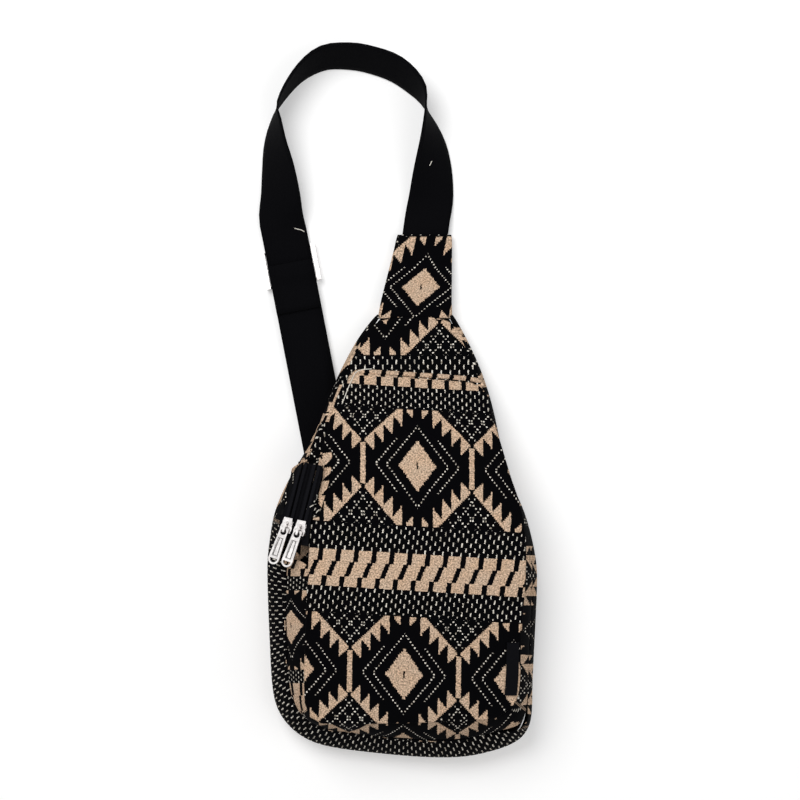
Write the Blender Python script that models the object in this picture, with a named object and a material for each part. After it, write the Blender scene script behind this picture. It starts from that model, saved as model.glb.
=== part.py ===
"""A crossbody sling bag of patterned cotton, lying on its back. Metres, +Z up, +Y towards the neck."""

import math

import bmesh
import bpy
from mathutils import Vector
from mathutils.bvhtree import BVHTree

MM = 0.001

# Body, seen from the front
BODY_LENGTH = 312 * MM
BODY_WIDTH = 190 * MM
MAIN_DEPTH = 41 * MM
NECK_DEPTH = 15 * MM
POCKET_DEPTH = 18 * MM
TAPER_START = 170 * MM
FRONT_CROWN = 6 * MM
POCKET_CROWN = 3 * MM
BACK_PAD = 7.5 * MM
BACK_INSET = 3 * MM
FABRIC = 1.5 * MM
SEAM_GAP = 0.3 * MM

# How far the side walls lean in between the back and the front seam
EDGE_LEAN = 2.6 * MM
RIGHT_LEAN = 4.2 * MM
ZIP_LEAN = 7.4 * MM
LEFT_LEAN = 12.6 * MM
BOTTOM_LEAN = 15 * MM

# Neck sleeve
NECK_LENGTH = 53 * MM
SLEEVE_FOOT_WIDTH = 52 * MM
SLEEVE_MARGIN = 2 * MM
NECK_DRIFT = 7 * MM

# Strap
STRAP_WIDTH = 32 * MM
STRAP_THICKNESS = 1.4 * MM
STRAP_LIFT = 2.1 * MM
ARCH_WIDTH = 104 * MM
ARCH_RISE = 35 * MM
RIGHT_RUN = 92 * MM
LEFT_RUN_TILT = math.radians(11)
ADJUSTER_DROP = 23.6 * MM
LAP_LENGTH = 32 * MM
END_TAIL = 215 * MM
RUN_LEAD = 12 * MM
RUN_JOIN = 15 * MM
RING_STUB = 14 * MM
WRAP_START = 7 * MM
WRAP_SLACK = 0.4 * MM
LAP_START = 13 * MM
STRAP_STATIONS = 64
TURN_SHARE = 1.02
RING_SHARE = 0.1

# Adjuster and ring
BAR = 1.8 * MM
SIDE_BAR = 3 * MM
ADJUSTER_HEIGHT = 26 * MM
STRAP_PLAY = 0.6 * MM
RING_LENGTH = 12 * MM
TAB_LENGTH = 12 * MM
JOINT_STEP = 0.02 * MM
BAR_STEP = 0.1 * MM

# Zips
ZIP_PITCH = 10.4 * MM
ZIP_LENGTH = 45 * MM
ZIP_BELOW = 11 * MM
ZIP_LIFT = 2.8 * MM
ZIP_TUCK = 1.2 * MM
ZIP_PLACE = 0.529
ZIP_HEADING = math.radians(14)
ZIP_BANK = math.radians(25)
ZIP_FALL = math.radians(8)
TAPE = 0.6 * MM
COIL_GAP = 1.6 * MM
COIL_WIDTH = 2.2 * MM
COIL_HEIGHT = 1.6 * MM
SLIDER_LENGTH = 10.5 * MM
SLIDER_WIDTH = 9 * MM
PLATE = 1 * MM
RUNNING_GAP = 0.3 * MM
PULL_LENGTH = 26 * MM
PULL_WIDTH = 8.4 * MM
PULL_THICKNESS = 1.3 * MM
PULL_YAW = math.radians(6.5)
CROWN_LEG = 1.6 * MM
CROWN_CLEAR = 2 * MM
CROWN_TOP = 1.1 * MM
CROWN_FOOT = (-2.8 * MM, -1.5 * MM)
CROWN_HEEL = (3 * MM, 4.5 * MM)
CROWN_CREST = (-2.7 * MM, 4.4 * MM)
HINGE_Y = -2.4 * MM
EYE_PLACE = 2.7 * MM
EYE_WIDTH = 2.4 * MM
EYE_HEIGHT = 2.2 * MM
PULL_RIM = 1.3 * MM
PANEL_TOP = 7 * MM
PANEL_INSET = 0.9 * MM
PANEL_FOOT_INSET = 1.8 * MM
PANEL_FOOT = 1.6 * MM
PANEL_SINK = 0.35 * MM
COIL_START = 3 * MM
SEW_GAP = 0.2 * MM

LABEL_LENGTH = 36 * MM
LABEL_WIDTH = 8.4 * MM
LABEL_THICKNESS = 0.8 * MM

# Body outline from the left of the neck, down, across and up: (across, along, lean of the wall there),
# as shares of half the width and of the length
BODY_OUTLINE = (
    (-0.184, 1.0, EDGE_LEAN),
    (-0.317, 0.949, EDGE_LEAN),
    (-0.42, 0.893, EDGE_LEAN),
    (-0.508, 0.837, EDGE_LEAN),
    (-0.604, 0.758, EDGE_LEAN),
    (-0.729, 0.679, EDGE_LEAN),
    (-0.822, 0.639, ZIP_LEAN),
    (-0.873, 0.601, ZIP_LEAN),
    (-0.943, 0.559, ZIP_LEAN),
    (-0.98, 0.487, ZIP_LEAN),
    (-1.0, 0.431, LEFT_LEAN),
    (-0.982, 0.265, LEFT_LEAN),
    (-0.951, 0.132, LEFT_LEAN),
    (-0.855, 0.074, BOTTOM_LEAN),
    (-0.685, 0.036, BOTTOM_LEAN),
    (-0.435, 0.018, BOTTOM_LEAN),
    (0.1, 0.001, BOTTOM_LEAN),
    (0.45, 0.0, BOTTOM_LEAN),
    (0.66, 0.013, BOTTOM_LEAN),
    (0.83, 0.031, BOTTOM_LEAN),
    (0.95, 0.069, RIGHT_LEAN),
    (0.965, 0.175, RIGHT_LEAN),
    (1.0, 0.41, RIGHT_LEAN),
    (0.965, 0.485, EDGE_LEAN),
    (0.899, 0.559, EDGE_LEAN),
    (0.811, 0.615, EDGE_LEAN),
    (0.752, 0.671, EDGE_LEAN),
    (0.671, 0.792, EDGE_LEAN),
    (0.575, 0.881, EDGE_LEAN),
    (0.47, 0.949, EDGE_LEAN),
    (0.375, 1.0, EDGE_LEAN),
)

# Pocket outline from its top left corner, down, across and up to its top right corner
POCKET_OUTLINE = (
    (-0.379, 0.865),
    (-0.444, 0.83),
    (-0.49, 0.795),
    (-0.53, 0.748),
    (-0.59, 0.683),
    (-0.628, 0.6),
    (-0.66, 0.5),
    (-0.688, 0.324),
    (-0.695, 0.16),
    (-0.655, 0.108),
    (-0.56, 0.098),
    (0.0, 0.099),
    (0.65, 0.108),
    (0.78, 0.122),
    (0.835, 0.165),
    (0.85, 0.279),
    (0.88, 0.4),
    (0.885, 0.5),
    (0.845, 0.575),
    (0.775, 0.64),
    (0.715, 0.705),
    (0.65, 0.771),
    (0.6, 0.839),
)
OUTLINE_SAMPLES = 60
POCKET_SAMPLES = 46
HUB = Vector((0.0, 0.38 * BODY_LENGTH))
ZIP_FOOT_SHARE = 0.475


def smoothstep(value):
    value = min(1.0, max(0.0, value))
    return value * value * (3 - 2 * value)


def material(name, colour, roughness, metallic=0.0):
    made = bpy.data.materials.new(name)
    made.use_nodes = True
    shader = made.node_tree.nodes["Principled BSDF"]
    shader.inputs["Base Color"].default_value = (*colour, 1.0)
    shader.inputs["Roughness"].default_value = roughness
    shader.inputs["Metallic"].default_value = metallic
    return made


def catmull(points, samples):
    """Points on a smooth open curve through the given ones, evenly spaced in plan."""
    dense = []
    steps = 12
    for i in range(len(points) - 1):
        last = min(i + 2, len(points) - 1)
        quad = [points[max(i - 1, 0)], points[i], points[i + 1], points[last]]
        for k in range(steps):
            t = k / steps
            dense.append(
                tuple(
                    0.5 * (2 * b + (c - a) * t + (2 * a - 5 * b + 4 * c - d) * t**2)
                    + 0.5 * (3 * b - a - 3 * c + d) * t**3
                    for a, b, c, d in zip(*quad)
                )
            )
    dense.append(tuple(points[-1]))
    lengths = [0.0]
    for a, b in zip(dense, dense[1:]):
        lengths.append(lengths[-1] + math.dist(a[:2], b[:2]))
    found = []
    j = 0
    for i in range(samples):
        want = lengths[-1] * i / (samples - 1)
        while j < len(dense) - 2 and lengths[j + 1] < want:
            j += 1
        span = lengths[j + 1] - lengths[j]
        t = (want - lengths[j]) / span if span else 0.0
        found.append(tuple(a + (b - a) * t for a, b in zip(dense[j], dense[j + 1])))
    return found


def link(name, mesh, look, origin=None):
    if origin is not None:
        for vertex in mesh.vertices:
            vertex.co -= origin
    obj = bpy.data.objects.new(name, mesh)
    if origin is not None:
        obj.location = origin
    mesh.materials.append(look)
    mesh.shade_smooth()
    mesh.set_sharp_from_angle(angle=math.radians(40))
    bpy.context.scene.collection.objects.link(obj)
    return obj


def mesh_of(points, faces):
    mesh = bpy.data.meshes.new("shape")
    mesh.from_pydata([tuple(p) for p in points], [], faces)
    work = bmesh.new()
    work.from_mesh(mesh)
    bmesh.ops.recalc_face_normals(work, faces=work.faces)
    work.to_mesh(mesh)
    work.free()
    mesh.update()
    return mesh


def between(first, second, closed=False):
    """Closed mesh between two matching grids of points, such as the two faces of a cloth."""
    rows = len(first)
    columns = len(first[0])
    points = [p for row in first for p in row] + [p for row in second for p in row]
    offset = rows * columns
    faces = []
    for i in range(rows - 1):
        for j in range(columns if closed else columns - 1):
            k = (j + 1) % columns
            a, b, c, d = i * columns + j, i * columns + k, (i + 1) * columns + k, (i + 1) * columns + j
            faces.append((a, b, c, d))
            faces.append((d + offset, c + offset, b + offset, a + offset))
    for row in (0, rows - 1):
        for j in range(columns if closed else columns - 1):
            k = (j + 1) % columns
            a, b = row * columns + j, row * columns + k
            faces.append((a, b, b + offset, a + offset))
    if not closed:
        for column in (0, columns - 1):
            for i in range(rows - 1):
                a, b = i * columns + column, (i + 1) * columns + column
                faces.append((a, b, b + offset, a + offset))
    return mesh_of(points, faces)


def normals(grid, closed=False):
    rows = len(grid)
    columns = len(grid[0])
    found = []
    for i in range(rows):
        line = []
        for j in range(columns):
            down = grid[max(i - 1, 0)][j]
            up = grid[min(i + 1, rows - 1)][j]
            left = grid[i][(j - 1) % columns if closed else max(j - 1, 0)]
            right = grid[i][(j + 1) % columns if closed else min(j + 1, columns - 1)]
            line.append((right - left).cross(up - down).normalized())
        found.append(line)
    return found


def cloth(grid, thickness, closed=False):
    """Closed mesh of a cloth whose outer face is the grid: its thickness goes in, against the normal."""
    facing = normals(grid, closed)
    inner = [[p - n * thickness for p, n in zip(row, line)] for row, line in zip(grid, facing)]
    return between(grid, inner, closed)


def disc(rim, centre, rings, height, thickness):
    """Closed plate over a closed outline. height(x, y) is its top face."""
    upper = []
    for i in range(rings):
        share = 1 - i / rings
        line = []
        for x, y in rim:
            px = centre[0] + (x - centre[0]) * share
            py = centre[1] + (y - centre[1]) * share
            line.append(Vector((px, py, height(px, py))))
        upper.append(line)
    hub = Vector((centre[0], centre[1], height(*centre)))
    count = len(rim)
    points = [p for row in upper for p in row] + [hub]
    drop = Vector((0, 0, thickness))
    offset = len(points)
    points += [p - drop for p in points]
    faces = []
    for i in range(rings - 1):
        for j in range(count):
            k = (j + 1) % count
            a, b, c, d = i * count + j, i * count + k, (i + 1) * count + k, (i + 1) * count + j
            faces.append((a, b, c, d))
            faces.append((d + offset, c + offset, b + offset, a + offset))
    last = (rings - 1) * count
    for j in range(count):
        k = (j + 1) % count
        faces.append((last + j, last + k, offset - 1))
        faces.append((last + k + offset, last + j + offset, 2 * offset - 1))
        faces.append((j, k, k + offset, j + offset))
    return mesh_of(points, faces)


def sized(x, y):
    return x * BODY_WIDTH / 2, y * BODY_LENGTH


def body_line():
    """Outer outline and seam outline of the body, from the left of the neck round to its right."""
    stations = catmull([(*sized(x, y), lean) for x, y, lean in BODY_OUTLINE], OUTLINE_SAMPLES)
    outer = [Vector((x, y)) for x, y, _ in stations]
    seam = []
    for i, point in enumerate(outer):
        along = outer[min(i + 1, len(outer) - 1)] - outer[max(i - 1, 0)]
        inward = Vector((-along.y, along.x)).normalized()
        seam.append(point + inward * stations[i][2])
    return outer, seam


def width_at(line, y):
    """Left and right ends of an outline at a height."""
    found = []
    for a, b in zip(line, line[1:]):
        if (a.y - y) * (b.y - y) <= 0 and a.y != b.y:
            found.append(a.x + (b.x - a.x) * (y - a.y) / (b.y - a.y))
    if len(found) < 2 or max(found) - min(found) < BODY_WIDTH / 10:
        above = y > HUB.y
        pair = sorted(line, key=lambda p: p.y, reverse=above)[:2]
        found = [p.x for p in pair]
        if above:
            found = [line[0].x, line[-1].x]
        elif max(found) - min(found) < BODY_WIDTH / 10:
            found = [-BODY_WIDTH / 4, BODY_WIDTH / 4]
    return min(found), max(found)


OUTER, SEAM = body_line()
POCKET = [Vector(p) for p in catmull([sized(x, y) for x, y in POCKET_OUTLINE], POCKET_SAMPLES)]


def seam_height(y):
    taper = smoothstep((BODY_LENGTH - y) / (BODY_LENGTH - TAPER_START))
    return NECK_DEPTH + (MAIN_DEPTH - NECK_DEPTH) * taper


def tree_of(mesh):
    return BVHTree.FromPolygons([v.co for v in mesh.vertices], [p.vertices for p in mesh.polygons])


def share_across(line, x, y):
    left, right = width_at(line, y)
    return max(-1.0, min(1.0, (2 * x - left - right) / (right - left)))


def middle_height(x, y):
    """Top face of the middle panel as it is designed."""
    q = share_across(SEAM, x, y)
    upper = smoothstep((y - 0.6 * BODY_LENGTH) / (0.25 * BODY_LENGTH))
    neck = smoothstep((BODY_LENGTH - y) / (0.15 * BODY_LENGTH))
    return seam_height(y) + FABRIC + SEAM_GAP + FRONT_CROWN * upper * (0.3 + 0.7 * neck) * (1 - q * q)


def panel_rim():
    """Outline of the middle panel: the seam, except where the main zip opens into the bag."""
    rim = []
    for i, point in enumerate(SEAM):
        along = SEAM[min(i + 1, len(SEAM) - 1)] - SEAM[max(i - 1, 0)]
        inward = Vector((-along.y, along.x)).normalized()
        share = point.y / BODY_LENGTH
        window = smoothstep((share - 0.465) / 0.03) * smoothstep((0.645 - share) / 0.03)
        depth = ZIP_PITCH * 0.85 * window if point.x < 0 else 0.0
        rim.append(tuple(point + inward * depth))
    return rim


MIDDLE_RINGS = 8
MIDDLE_MESH = disc(panel_rim(), tuple(HUB), MIDDLE_RINGS, middle_height, FABRIC)
MIDDLE_TREE = tree_of(MIDDLE_MESH)


def front_height(x, y):
    """Top face of the middle panel as it is meshed."""
    hit = MIDDLE_TREE.ray_cast(Vector((x, y, 1.0)), Vector((0, 0, -1)))
    return hit[0].z if hit[0] else middle_height(x, y)


def pocket_height(x, y):
    """Top face of the front panel."""
    q = share_across(POCKET, x, y)
    left = smoothstep((0.665 * BODY_LENGTH - y) / (0.31 * BODY_LENGTH))
    right = smoothstep((0.85 * BODY_LENGTH - y) / (0.42 * BODY_LENGTH))
    rise = left + (right - left) * (q + 1) / 2
    crown = (1 - q * q) * smoothstep((0.86 * BODY_LENGTH - y) / (0.2 * BODY_LENGTH))
    crown *= 0.4 + 0.6 * smoothstep((y - 0.08 * BODY_LENGTH) / (0.25 * BODY_LENGTH))
    return front_height(x, y) + FABRIC + 2 * SEAM_GAP + POCKET_DEPTH * rise + 2 * POCKET_CROWN * crown


def front_rim():
    """Closed outline of the front panel: the pocket outline and its straight top edge."""
    corner = POCKET[-1]
    return [tuple(p) for p in POCKET + [corner + (POCKET[0] - corner) * (i / 8) for i in range(1, 8)]]


FRONT_HUB = (0.02 * BODY_WIDTH, 0.42 * BODY_LENGTH)
FRONT_MESH = disc(front_rim(), FRONT_HUB, 8, pocket_height, FABRIC)
FRONT_TREE = tree_of(FRONT_MESH)


def under_front(x, y):
    """Underside of the front panel as it is meshed."""
    hit = FRONT_TREE.ray_cast(Vector((x, y, -1.0)), Vector((0, 0, 1)))
    return hit[0].z if hit[0] else pocket_height(x, y) - FABRIC


def seam_from_hub(point):
    """Where the ray from the body's hub through a point meets the seam outline."""
    away = point - HUB
    best = point
    for a, b in zip(SEAM, SEAM[1:]):
        side = b - a
        cross = away.x * side.y - away.y * side.x
        if abs(cross) < 1e-12:
            continue
        start = a - HUB
        t = (start.x * side.y - start.y * side.x) / cross
        u = (start.x * away.y - start.y * away.x) / cross
        if t > 0 and 0 <= u <= 1:
            best = HUB + away * t
    return best


def back_panel(look, groove):
    rim = []
    for i, point in enumerate(OUTER):
        along = OUTER[min(i + 1, len(OUTER) - 1)] - OUTER[max(i - 1, 0)]
        rim.append(point + Vector((-along.y, along.x)).normalized() * BACK_INSET)
    panel = disc([tuple(p) for p in rim], tuple(HUB), 3, lambda x, y: BACK_PAD, BACK_PAD)
    obj = link("back_panel", panel, look)
    cut = obj.modifiers.new("strap groove", "BOOLEAN")
    cut.operation = "DIFFERENCE"
    cut.object = groove
    return obj


# Share of the wall's height, how much of its lean it has there, and how much it tucks under
WALL_LEVELS = ((0.0, 0.0, 1.0), (0.2, 0.0, 0.25), (0.42, 0.0, 0.0), (0.75, 0.45, 0.0), (1.0, 1.0, 0.0))


def main_gusset(look):
    """Side wall from the back up to the front seam, open at the neck."""
    outer_rows = []
    inner_rows = []
    foot = BACK_PAD + SEAM_GAP
    for level, lean, tuck in WALL_LEVELS:
        for rows, depth in ((outer_rows, 0.0), (inner_rows, FABRIC)):
            line = []
            for point, seam in zip(OUTER, SEAM):
                inward = (seam - point).normalized()
                plan = point + (seam - point) * lean + inward * (BACK_INSET * tuck)
                z = foot + (seam_height(plan.y) - foot) * level
                plan = plan + inward * depth
                line.append(Vector((plan.x, plan.y, z)))
            rows.append(line)
    return link("main_gusset", between(outer_rows, inner_rows), look)


def middle_panel(look):
    return link("middle_panel", MIDDLE_MESH, look)


def front_gusset(look):
    """Side wall of the front compartment, from the middle panel up to the front panel's rim."""
    start = next(i for i, p in enumerate(POCKET) if p.y < ZIP_FOOT_SHARE * BODY_LENGTH)
    end = max(i for i, p in enumerate(POCKET) if p.y < 0.72 * BODY_LENGTH)
    grids = []
    for depth in (0.0, FABRIC):
        feet = []
        middles = []
        rims = []
        for point in POCKET[start : end + 1]:
            rise = pocket_height(*point) - FABRIC - front_height(*point)
            spread = min(1.0, max(0.0, rise / POCKET_DEPTH))
            base = point + (seam_from_hub(point) - point) * spread * 0.94
            inward = (HUB - base).normalized() * depth
            base = base + inward
            rim = point + (HUB - point).normalized() * (depth + SEAM_GAP)
            foot = Vector((base.x, base.y, front_height(*base) + 2 * SEAM_GAP))
            top = Vector((rim.x, rim.y, under_front(*rim) - SEAM_GAP))
            swell = Vector((*(point - HUB).normalized(), 0)) * FABRIC
            feet.append(foot)
            middles.append((foot + top) / 2 + swell)
            rims.append(top)
        grids.append([feet, middles, rims])
    return link("front_gusset", between(*grids), look)


def front_panel(look):
    return link("front_panel", FRONT_MESH, look)


class ZipLine:
    """Straight line of one zip: its frame at the closed slider, x across, y up the zip, z off the tape."""

    def __init__(self, index):
        upward = Vector((math.sin(ZIP_HEADING), math.cos(ZIP_HEADING), -math.tan(ZIP_FALL))).normalized()
        across = Vector((math.cos(ZIP_HEADING), -math.sin(ZIP_HEADING), math.tan(ZIP_BANK)))
        across = (across - upward * across.dot(upward)).normalized()
        self.across = across
        self.upward = upward
        self.off = across.cross(upward).normalized()
        slider_y = ZIP_PLACE * BODY_LENGTH
        edge = width_at(SEAM, slider_y)[0]
        lift = ZIP_PITCH / 2 * math.sin(ZIP_BANK) + ZIP_LIFT
        start = Vector((edge + ZIP_TUCK, slider_y, seam_height(slider_y) + lift))
        self.origin = start + across * (ZIP_PITCH * (index + 0.5) + SEAM_GAP)

    def at(self, x, y, z):
        return self.origin + self.across * x + self.upward * y + self.off * z


def fabric_edge(zip_line, y, inner):
    """Point on the fabric that a tape is sewn to, at a distance up the zip."""
    along = zip_line.at(0, y, 0)
    if inner:
        edge = width_at(POCKET, along.y)[0]
        return Vector((edge - 4 * SEAM_GAP, along.y, pocket_height(edge, along.y)))
    return Vector((width_at(SEAM, along.y)[0] - SEAM_GAP, along.y, seam_height(along.y)))


def tape(name, look, zip_line, side, fabric):
    """Woven tape from the coil's inner edge out to the fabric or to the next zip's tape."""
    steps = 8
    rows = []
    for i in range(steps + 1):
        y = -ZIP_BELOW + (ZIP_LENGTH + ZIP_BELOW) * i / steps
        inner = zip_line.at(side * COIL_GAP / 2, y, 0)
        flat = zip_line.at(side * (ZIP_PITCH / 2 - SEAM_GAP / 2), y, 0)
        edge = flat
        if fabric:
            sewn = fabric_edge(zip_line, y, side > 0)
            reach = abs(sewn.x - zip_line.at(0, y, 0).x) / zip_line.across.x
            reach = max(reach, (SLIDER_WIDTH / 2 + RUNNING_GAP))
            edge = zip_line.at(side * reach, y, 0)
        line = [inner, inner + (flat - inner) * 0.9, edge] if fabric else [inner, flat]
        rows.append(line if side > 0 else line[::-1])
    return link(name, cloth(rows, TAPE), look)


COIL_TOP = SEAM_GAP + COIL_HEIGHT


def coil(name, look, zip_line, side):
    near = side * COIL_GAP / 2
    far = side * (COIL_GAP / 2 + COIL_WIDTH)
    corners = ((near, SEAM_GAP), (far, SEAM_GAP), (far, COIL_TOP), (near, COIL_TOP))
    return prism(name, look, zip_line, corners, COIL_START - ZIP_BELOW, ZIP_LENGTH)


def prism(name, look, zip_line, profile, start, end):
    count = len(profile)
    points = [zip_line.at(x, y, z) for y in (start, end) for x, z in profile]
    faces = [tuple(range(count)), tuple(range(2 * count - 1, count - 1, -1))]
    faces += [(i, (i + 1) % count, (i + 1) % count + count, i + count) for i in range(count)]
    return link(name, mesh_of(points, faces), look)


def union(base, others):
    """Joins closed meshes into the first, and removes the others."""
    for other in others:
        join = base.modifiers.new("join", "BOOLEAN")
        join.operation = "UNION"
        join.object = other
    graph = bpy.context.evaluated_depsgraph_get()
    joined = bpy.data.meshes.new_from_object(base.evaluated_get(graph))
    base.modifiers.clear()
    base.data = joined
    for other in others:
        bpy.data.objects.remove(other)
    joined.shade_smooth()
    joined.set_sharp_from_angle(angle=math.radians(40))
    return base


def slider(name, look, zip_line):
    half = SLIDER_WIDTH / 2
    nose = SLIDER_LENGTH / 2
    top = COIL_TOP + RUNNING_GAP
    bottom = -TAPE - RUNNING_GAP
    outline = (
        (-half * 0.72, nose), (half * 0.72, nose), (half * 0.8, nose * 0.2), (half, -nose * 0.35),
        (half * 0.85, -nose), (-half * 0.85, -nose), (-half, -nose * 0.35), (-half * 0.8, nose * 0.2),
    )

    def plate(part, low, high):
        count = len(outline)
        points = [zip_line.at(x, y, z) for z in (low, high) for x, y in outline]
        faces = [tuple(range(count)), tuple(range(2 * count - 1, count - 1, -1))]
        faces += [(i, (i + 1) % count, (i + 1) % count + count, i + count) for i in range(count)]
        return link(part, mesh_of(points, faces), look)

    def block(part, sides, run, levels):
        profile = [(x, z) for z in levels for x in (sides if z == levels[0] else sides[::-1])]
        return prism(part, look, zip_line, profile, *run)

    def from_hinge(run):
        return [HINGE_Y + y for y in run]

    body = plate(name, top, top + PLATE)
    overlap = PLATE / 3
    post = COIL_GAP / 2 - RUNNING_GAP
    inner = COIL_GAP / 2 + COIL_WIDTH + RUNNING_GAP
    flange = inner + PLATE * 0.7
    crest = top + PLATE + CROWN_CLEAR
    leg = CROWN_LEG / 2
    on_plate = top + overlap
    rib = leg * 0.96
    post_run = (-nose + PLATE, -nose + 3 * PLATE)
    flange_run = (-nose * 0.7, nose * 0.6)
    parts = [
        plate(name + "_lower", bottom - PLATE, bottom),
        block(name + "_post", (-post, post), post_run, (bottom - overlap, on_plate)),
        block(name + "_left", (-flange, -inner), flange_run, (RUNNING_GAP, on_plate)),
        block(name + "_right", (inner, flange), flange_run, (RUNNING_GAP, on_plate)),
        block(name + "_foot", (-leg, leg), from_hinge(CROWN_FOOT), (on_plate, crest + overlap)),
        block(name + "_heel", (-leg, leg), from_hinge(CROWN_HEEL), (on_plate, crest + overlap)),
        block(name + "_crest", (-rib, rib), from_hinge(CROWN_CREST), (crest, crest + CROWN_TOP)),
    ]
    return union(body, parts)


def pull_frame(zip_line):
    """Hinge point of the pull and its own axes: x along the hinge, y down the pull, z off its face."""
    hinge = zip_line.at(0, HINGE_Y, COIL_TOP + RUNNING_GAP + PLATE + CROWN_CLEAR / 2)
    down = zip_line.upward * -1
    along = (down * math.cos(PULL_YAW) - zip_line.across * math.sin(PULL_YAW)).normalized()
    side = along.cross(zip_line.off).normalized()
    return hinge, side, along, zip_line.off


EYE_SIDES = 14
PIN_SIDES = 16
END_SIDES = 10


def arc(radius, foot):
    """Half circle round the pull's foot."""
    turns = [math.pi * i / END_SIDES for i in range(END_SIDES + 1)]
    return [(radius * math.cos(a), foot + radius * math.sin(a)) for a in turns]


def pull(name, look, zip_line):
    hinge, side, along, off = pull_frame(zip_line)
    half = PULL_THICKNESS / 2
    narrow = PULL_WIDTH * 0.37
    wide = PULL_WIDTH / 2
    foot = PULL_LENGTH - wide
    outer = [(-narrow, 0), (narrow, 0)]
    outer += arc(wide, foot)

    def slab(part, ring, low, high):
        count = len(ring)
        points = [hinge + side * x + along * y + off * z for z in (low, high) for x, y in ring]
        faces = [tuple(range(count)), tuple(range(2 * count - 1, count - 1, -1))]
        faces += [(i, (i + 1) % count, (i + 1) % count + count, i + count) for i in range(count)]
        made = mesh_of(points, faces)
        return link(part, made, look)

    body = slab(name, outer, -half, half)
    reach = PULL_THICKNESS
    turns = [math.tau * i / EYE_SIDES for i in range(EYE_SIDES)]
    round_hole = [(EYE_WIDTH * math.cos(a), EYE_PLACE + EYE_HEIGHT * math.sin(a)) for a in turns]
    d_hole = arc(wide - PULL_RIM, foot)
    top_half = narrow - PANEL_INSET
    foot_half = wide - PANEL_FOOT_INSET
    low = foot - PANEL_FOOT
    sunk = [(-top_half, PANEL_TOP), (top_half, PANEL_TOP), (foot_half, low), (-foot_half, low)]
    cutters = [
        slab(name + "_eye", round_hole, -reach, reach),
        slab(name + "_hole", d_hole, -reach, reach),
        slab(name + "_sunk", sunk, half - PANEL_SINK, reach),
    ]
    for cutter in cutters:
        cut = body.modifiers.new("cut", "BOOLEAN")
        cut.operation = "DIFFERENCE"
        cut.object = cutter
    graph = bpy.context.evaluated_depsgraph_get()
    shaped = bpy.data.meshes.new_from_object(body.evaluated_get(graph))
    for cutter in cutters:
        bpy.data.objects.remove(cutter)
    bpy.data.objects.remove(body)
    plate = link(name + "_plate", shaped, look)
    sides = PIN_SIDES
    turns = [math.tau * i / sides for i in range(sides)]
    ring = [(math.cos(a) * half, math.sin(a) * half) for a in turns]
    points = [hinge + side * x + along * y + off * z for x in (-narrow, narrow) for y, z in ring]
    faces = [tuple(range(sides)), tuple(range(2 * sides - 1, sides - 1, -1))]
    faces += [(i, (i + 1) % sides, (i + 1) % sides + sides, i + sides) for i in range(sides)]
    pin = union(link(name + "_pin", mesh_of(points, faces), look), [plate])
    joined = pin.data
    bpy.data.objects.remove(pin)
    return link(name, joined, look, origin=hinge)


def neck_frame():
    left, right = OUTER[0], OUTER[-1]
    foot = Vector(((left.x + right.x) / 2, BODY_LENGTH))
    mouth = Vector((foot.x + NECK_DRIFT, BODY_LENGTH + NECK_LENGTH))
    return foot, mouth


STRAP_MID = NECK_DEPTH * 0.35
SLEEVE_SIDES = 24


def neck_sleeve(look):
    """Flattened tube of cloth, open at both ends, round the strap's end."""
    foot, mouth = neck_frame()
    wall = FABRIC
    mouth_width = STRAP_WIDTH + 2 * (wall + SLEEVE_MARGIN)
    mouth_depth = STRAP_THICKNESS + 2 * wall + 3 * SEAM_GAP
    outer_rows = []
    inner_rows = []
    for share in (0.0, 0.3, 0.65, 1.0):
        centre = foot + (mouth - foot) * share
        width = SLEEVE_FOOT_WIDTH + (mouth_width - SLEEVE_FOOT_WIDTH) * share
        depth = NECK_DEPTH * 0.8 + (mouth_depth - NECK_DEPTH * 0.8) * smoothstep(share)
        middle = NECK_DEPTH * 0.5 + (STRAP_MID - NECK_DEPTH * 0.5) * smoothstep(share)
        y = centre.y + SEAM_GAP * 3
        for rows, cut in ((outer_rows, 0.0), (inner_rows, wall)):
            line = []
            for i in range(SLEEVE_SIDES):
                angle = math.tau * (i + 0.5) / SLEEVE_SIDES
                c, s = math.cos(angle), math.sin(angle)
                x = math.copysign(abs(c) ** 0.2, c) * (width / 2 - cut)
                z = math.copysign(abs(s) ** 0.35, s) * (depth / 2 - cut)
                line.append(Vector((centre.x + x, y, middle + z)))
            rows.append(line)
    return link("neck_sleeve", between(outer_rows, inner_rows, closed=True), look)


def run_direction():
    return Vector((math.sin(LEFT_RUN_TILT), -math.cos(LEFT_RUN_TILT)))


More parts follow.
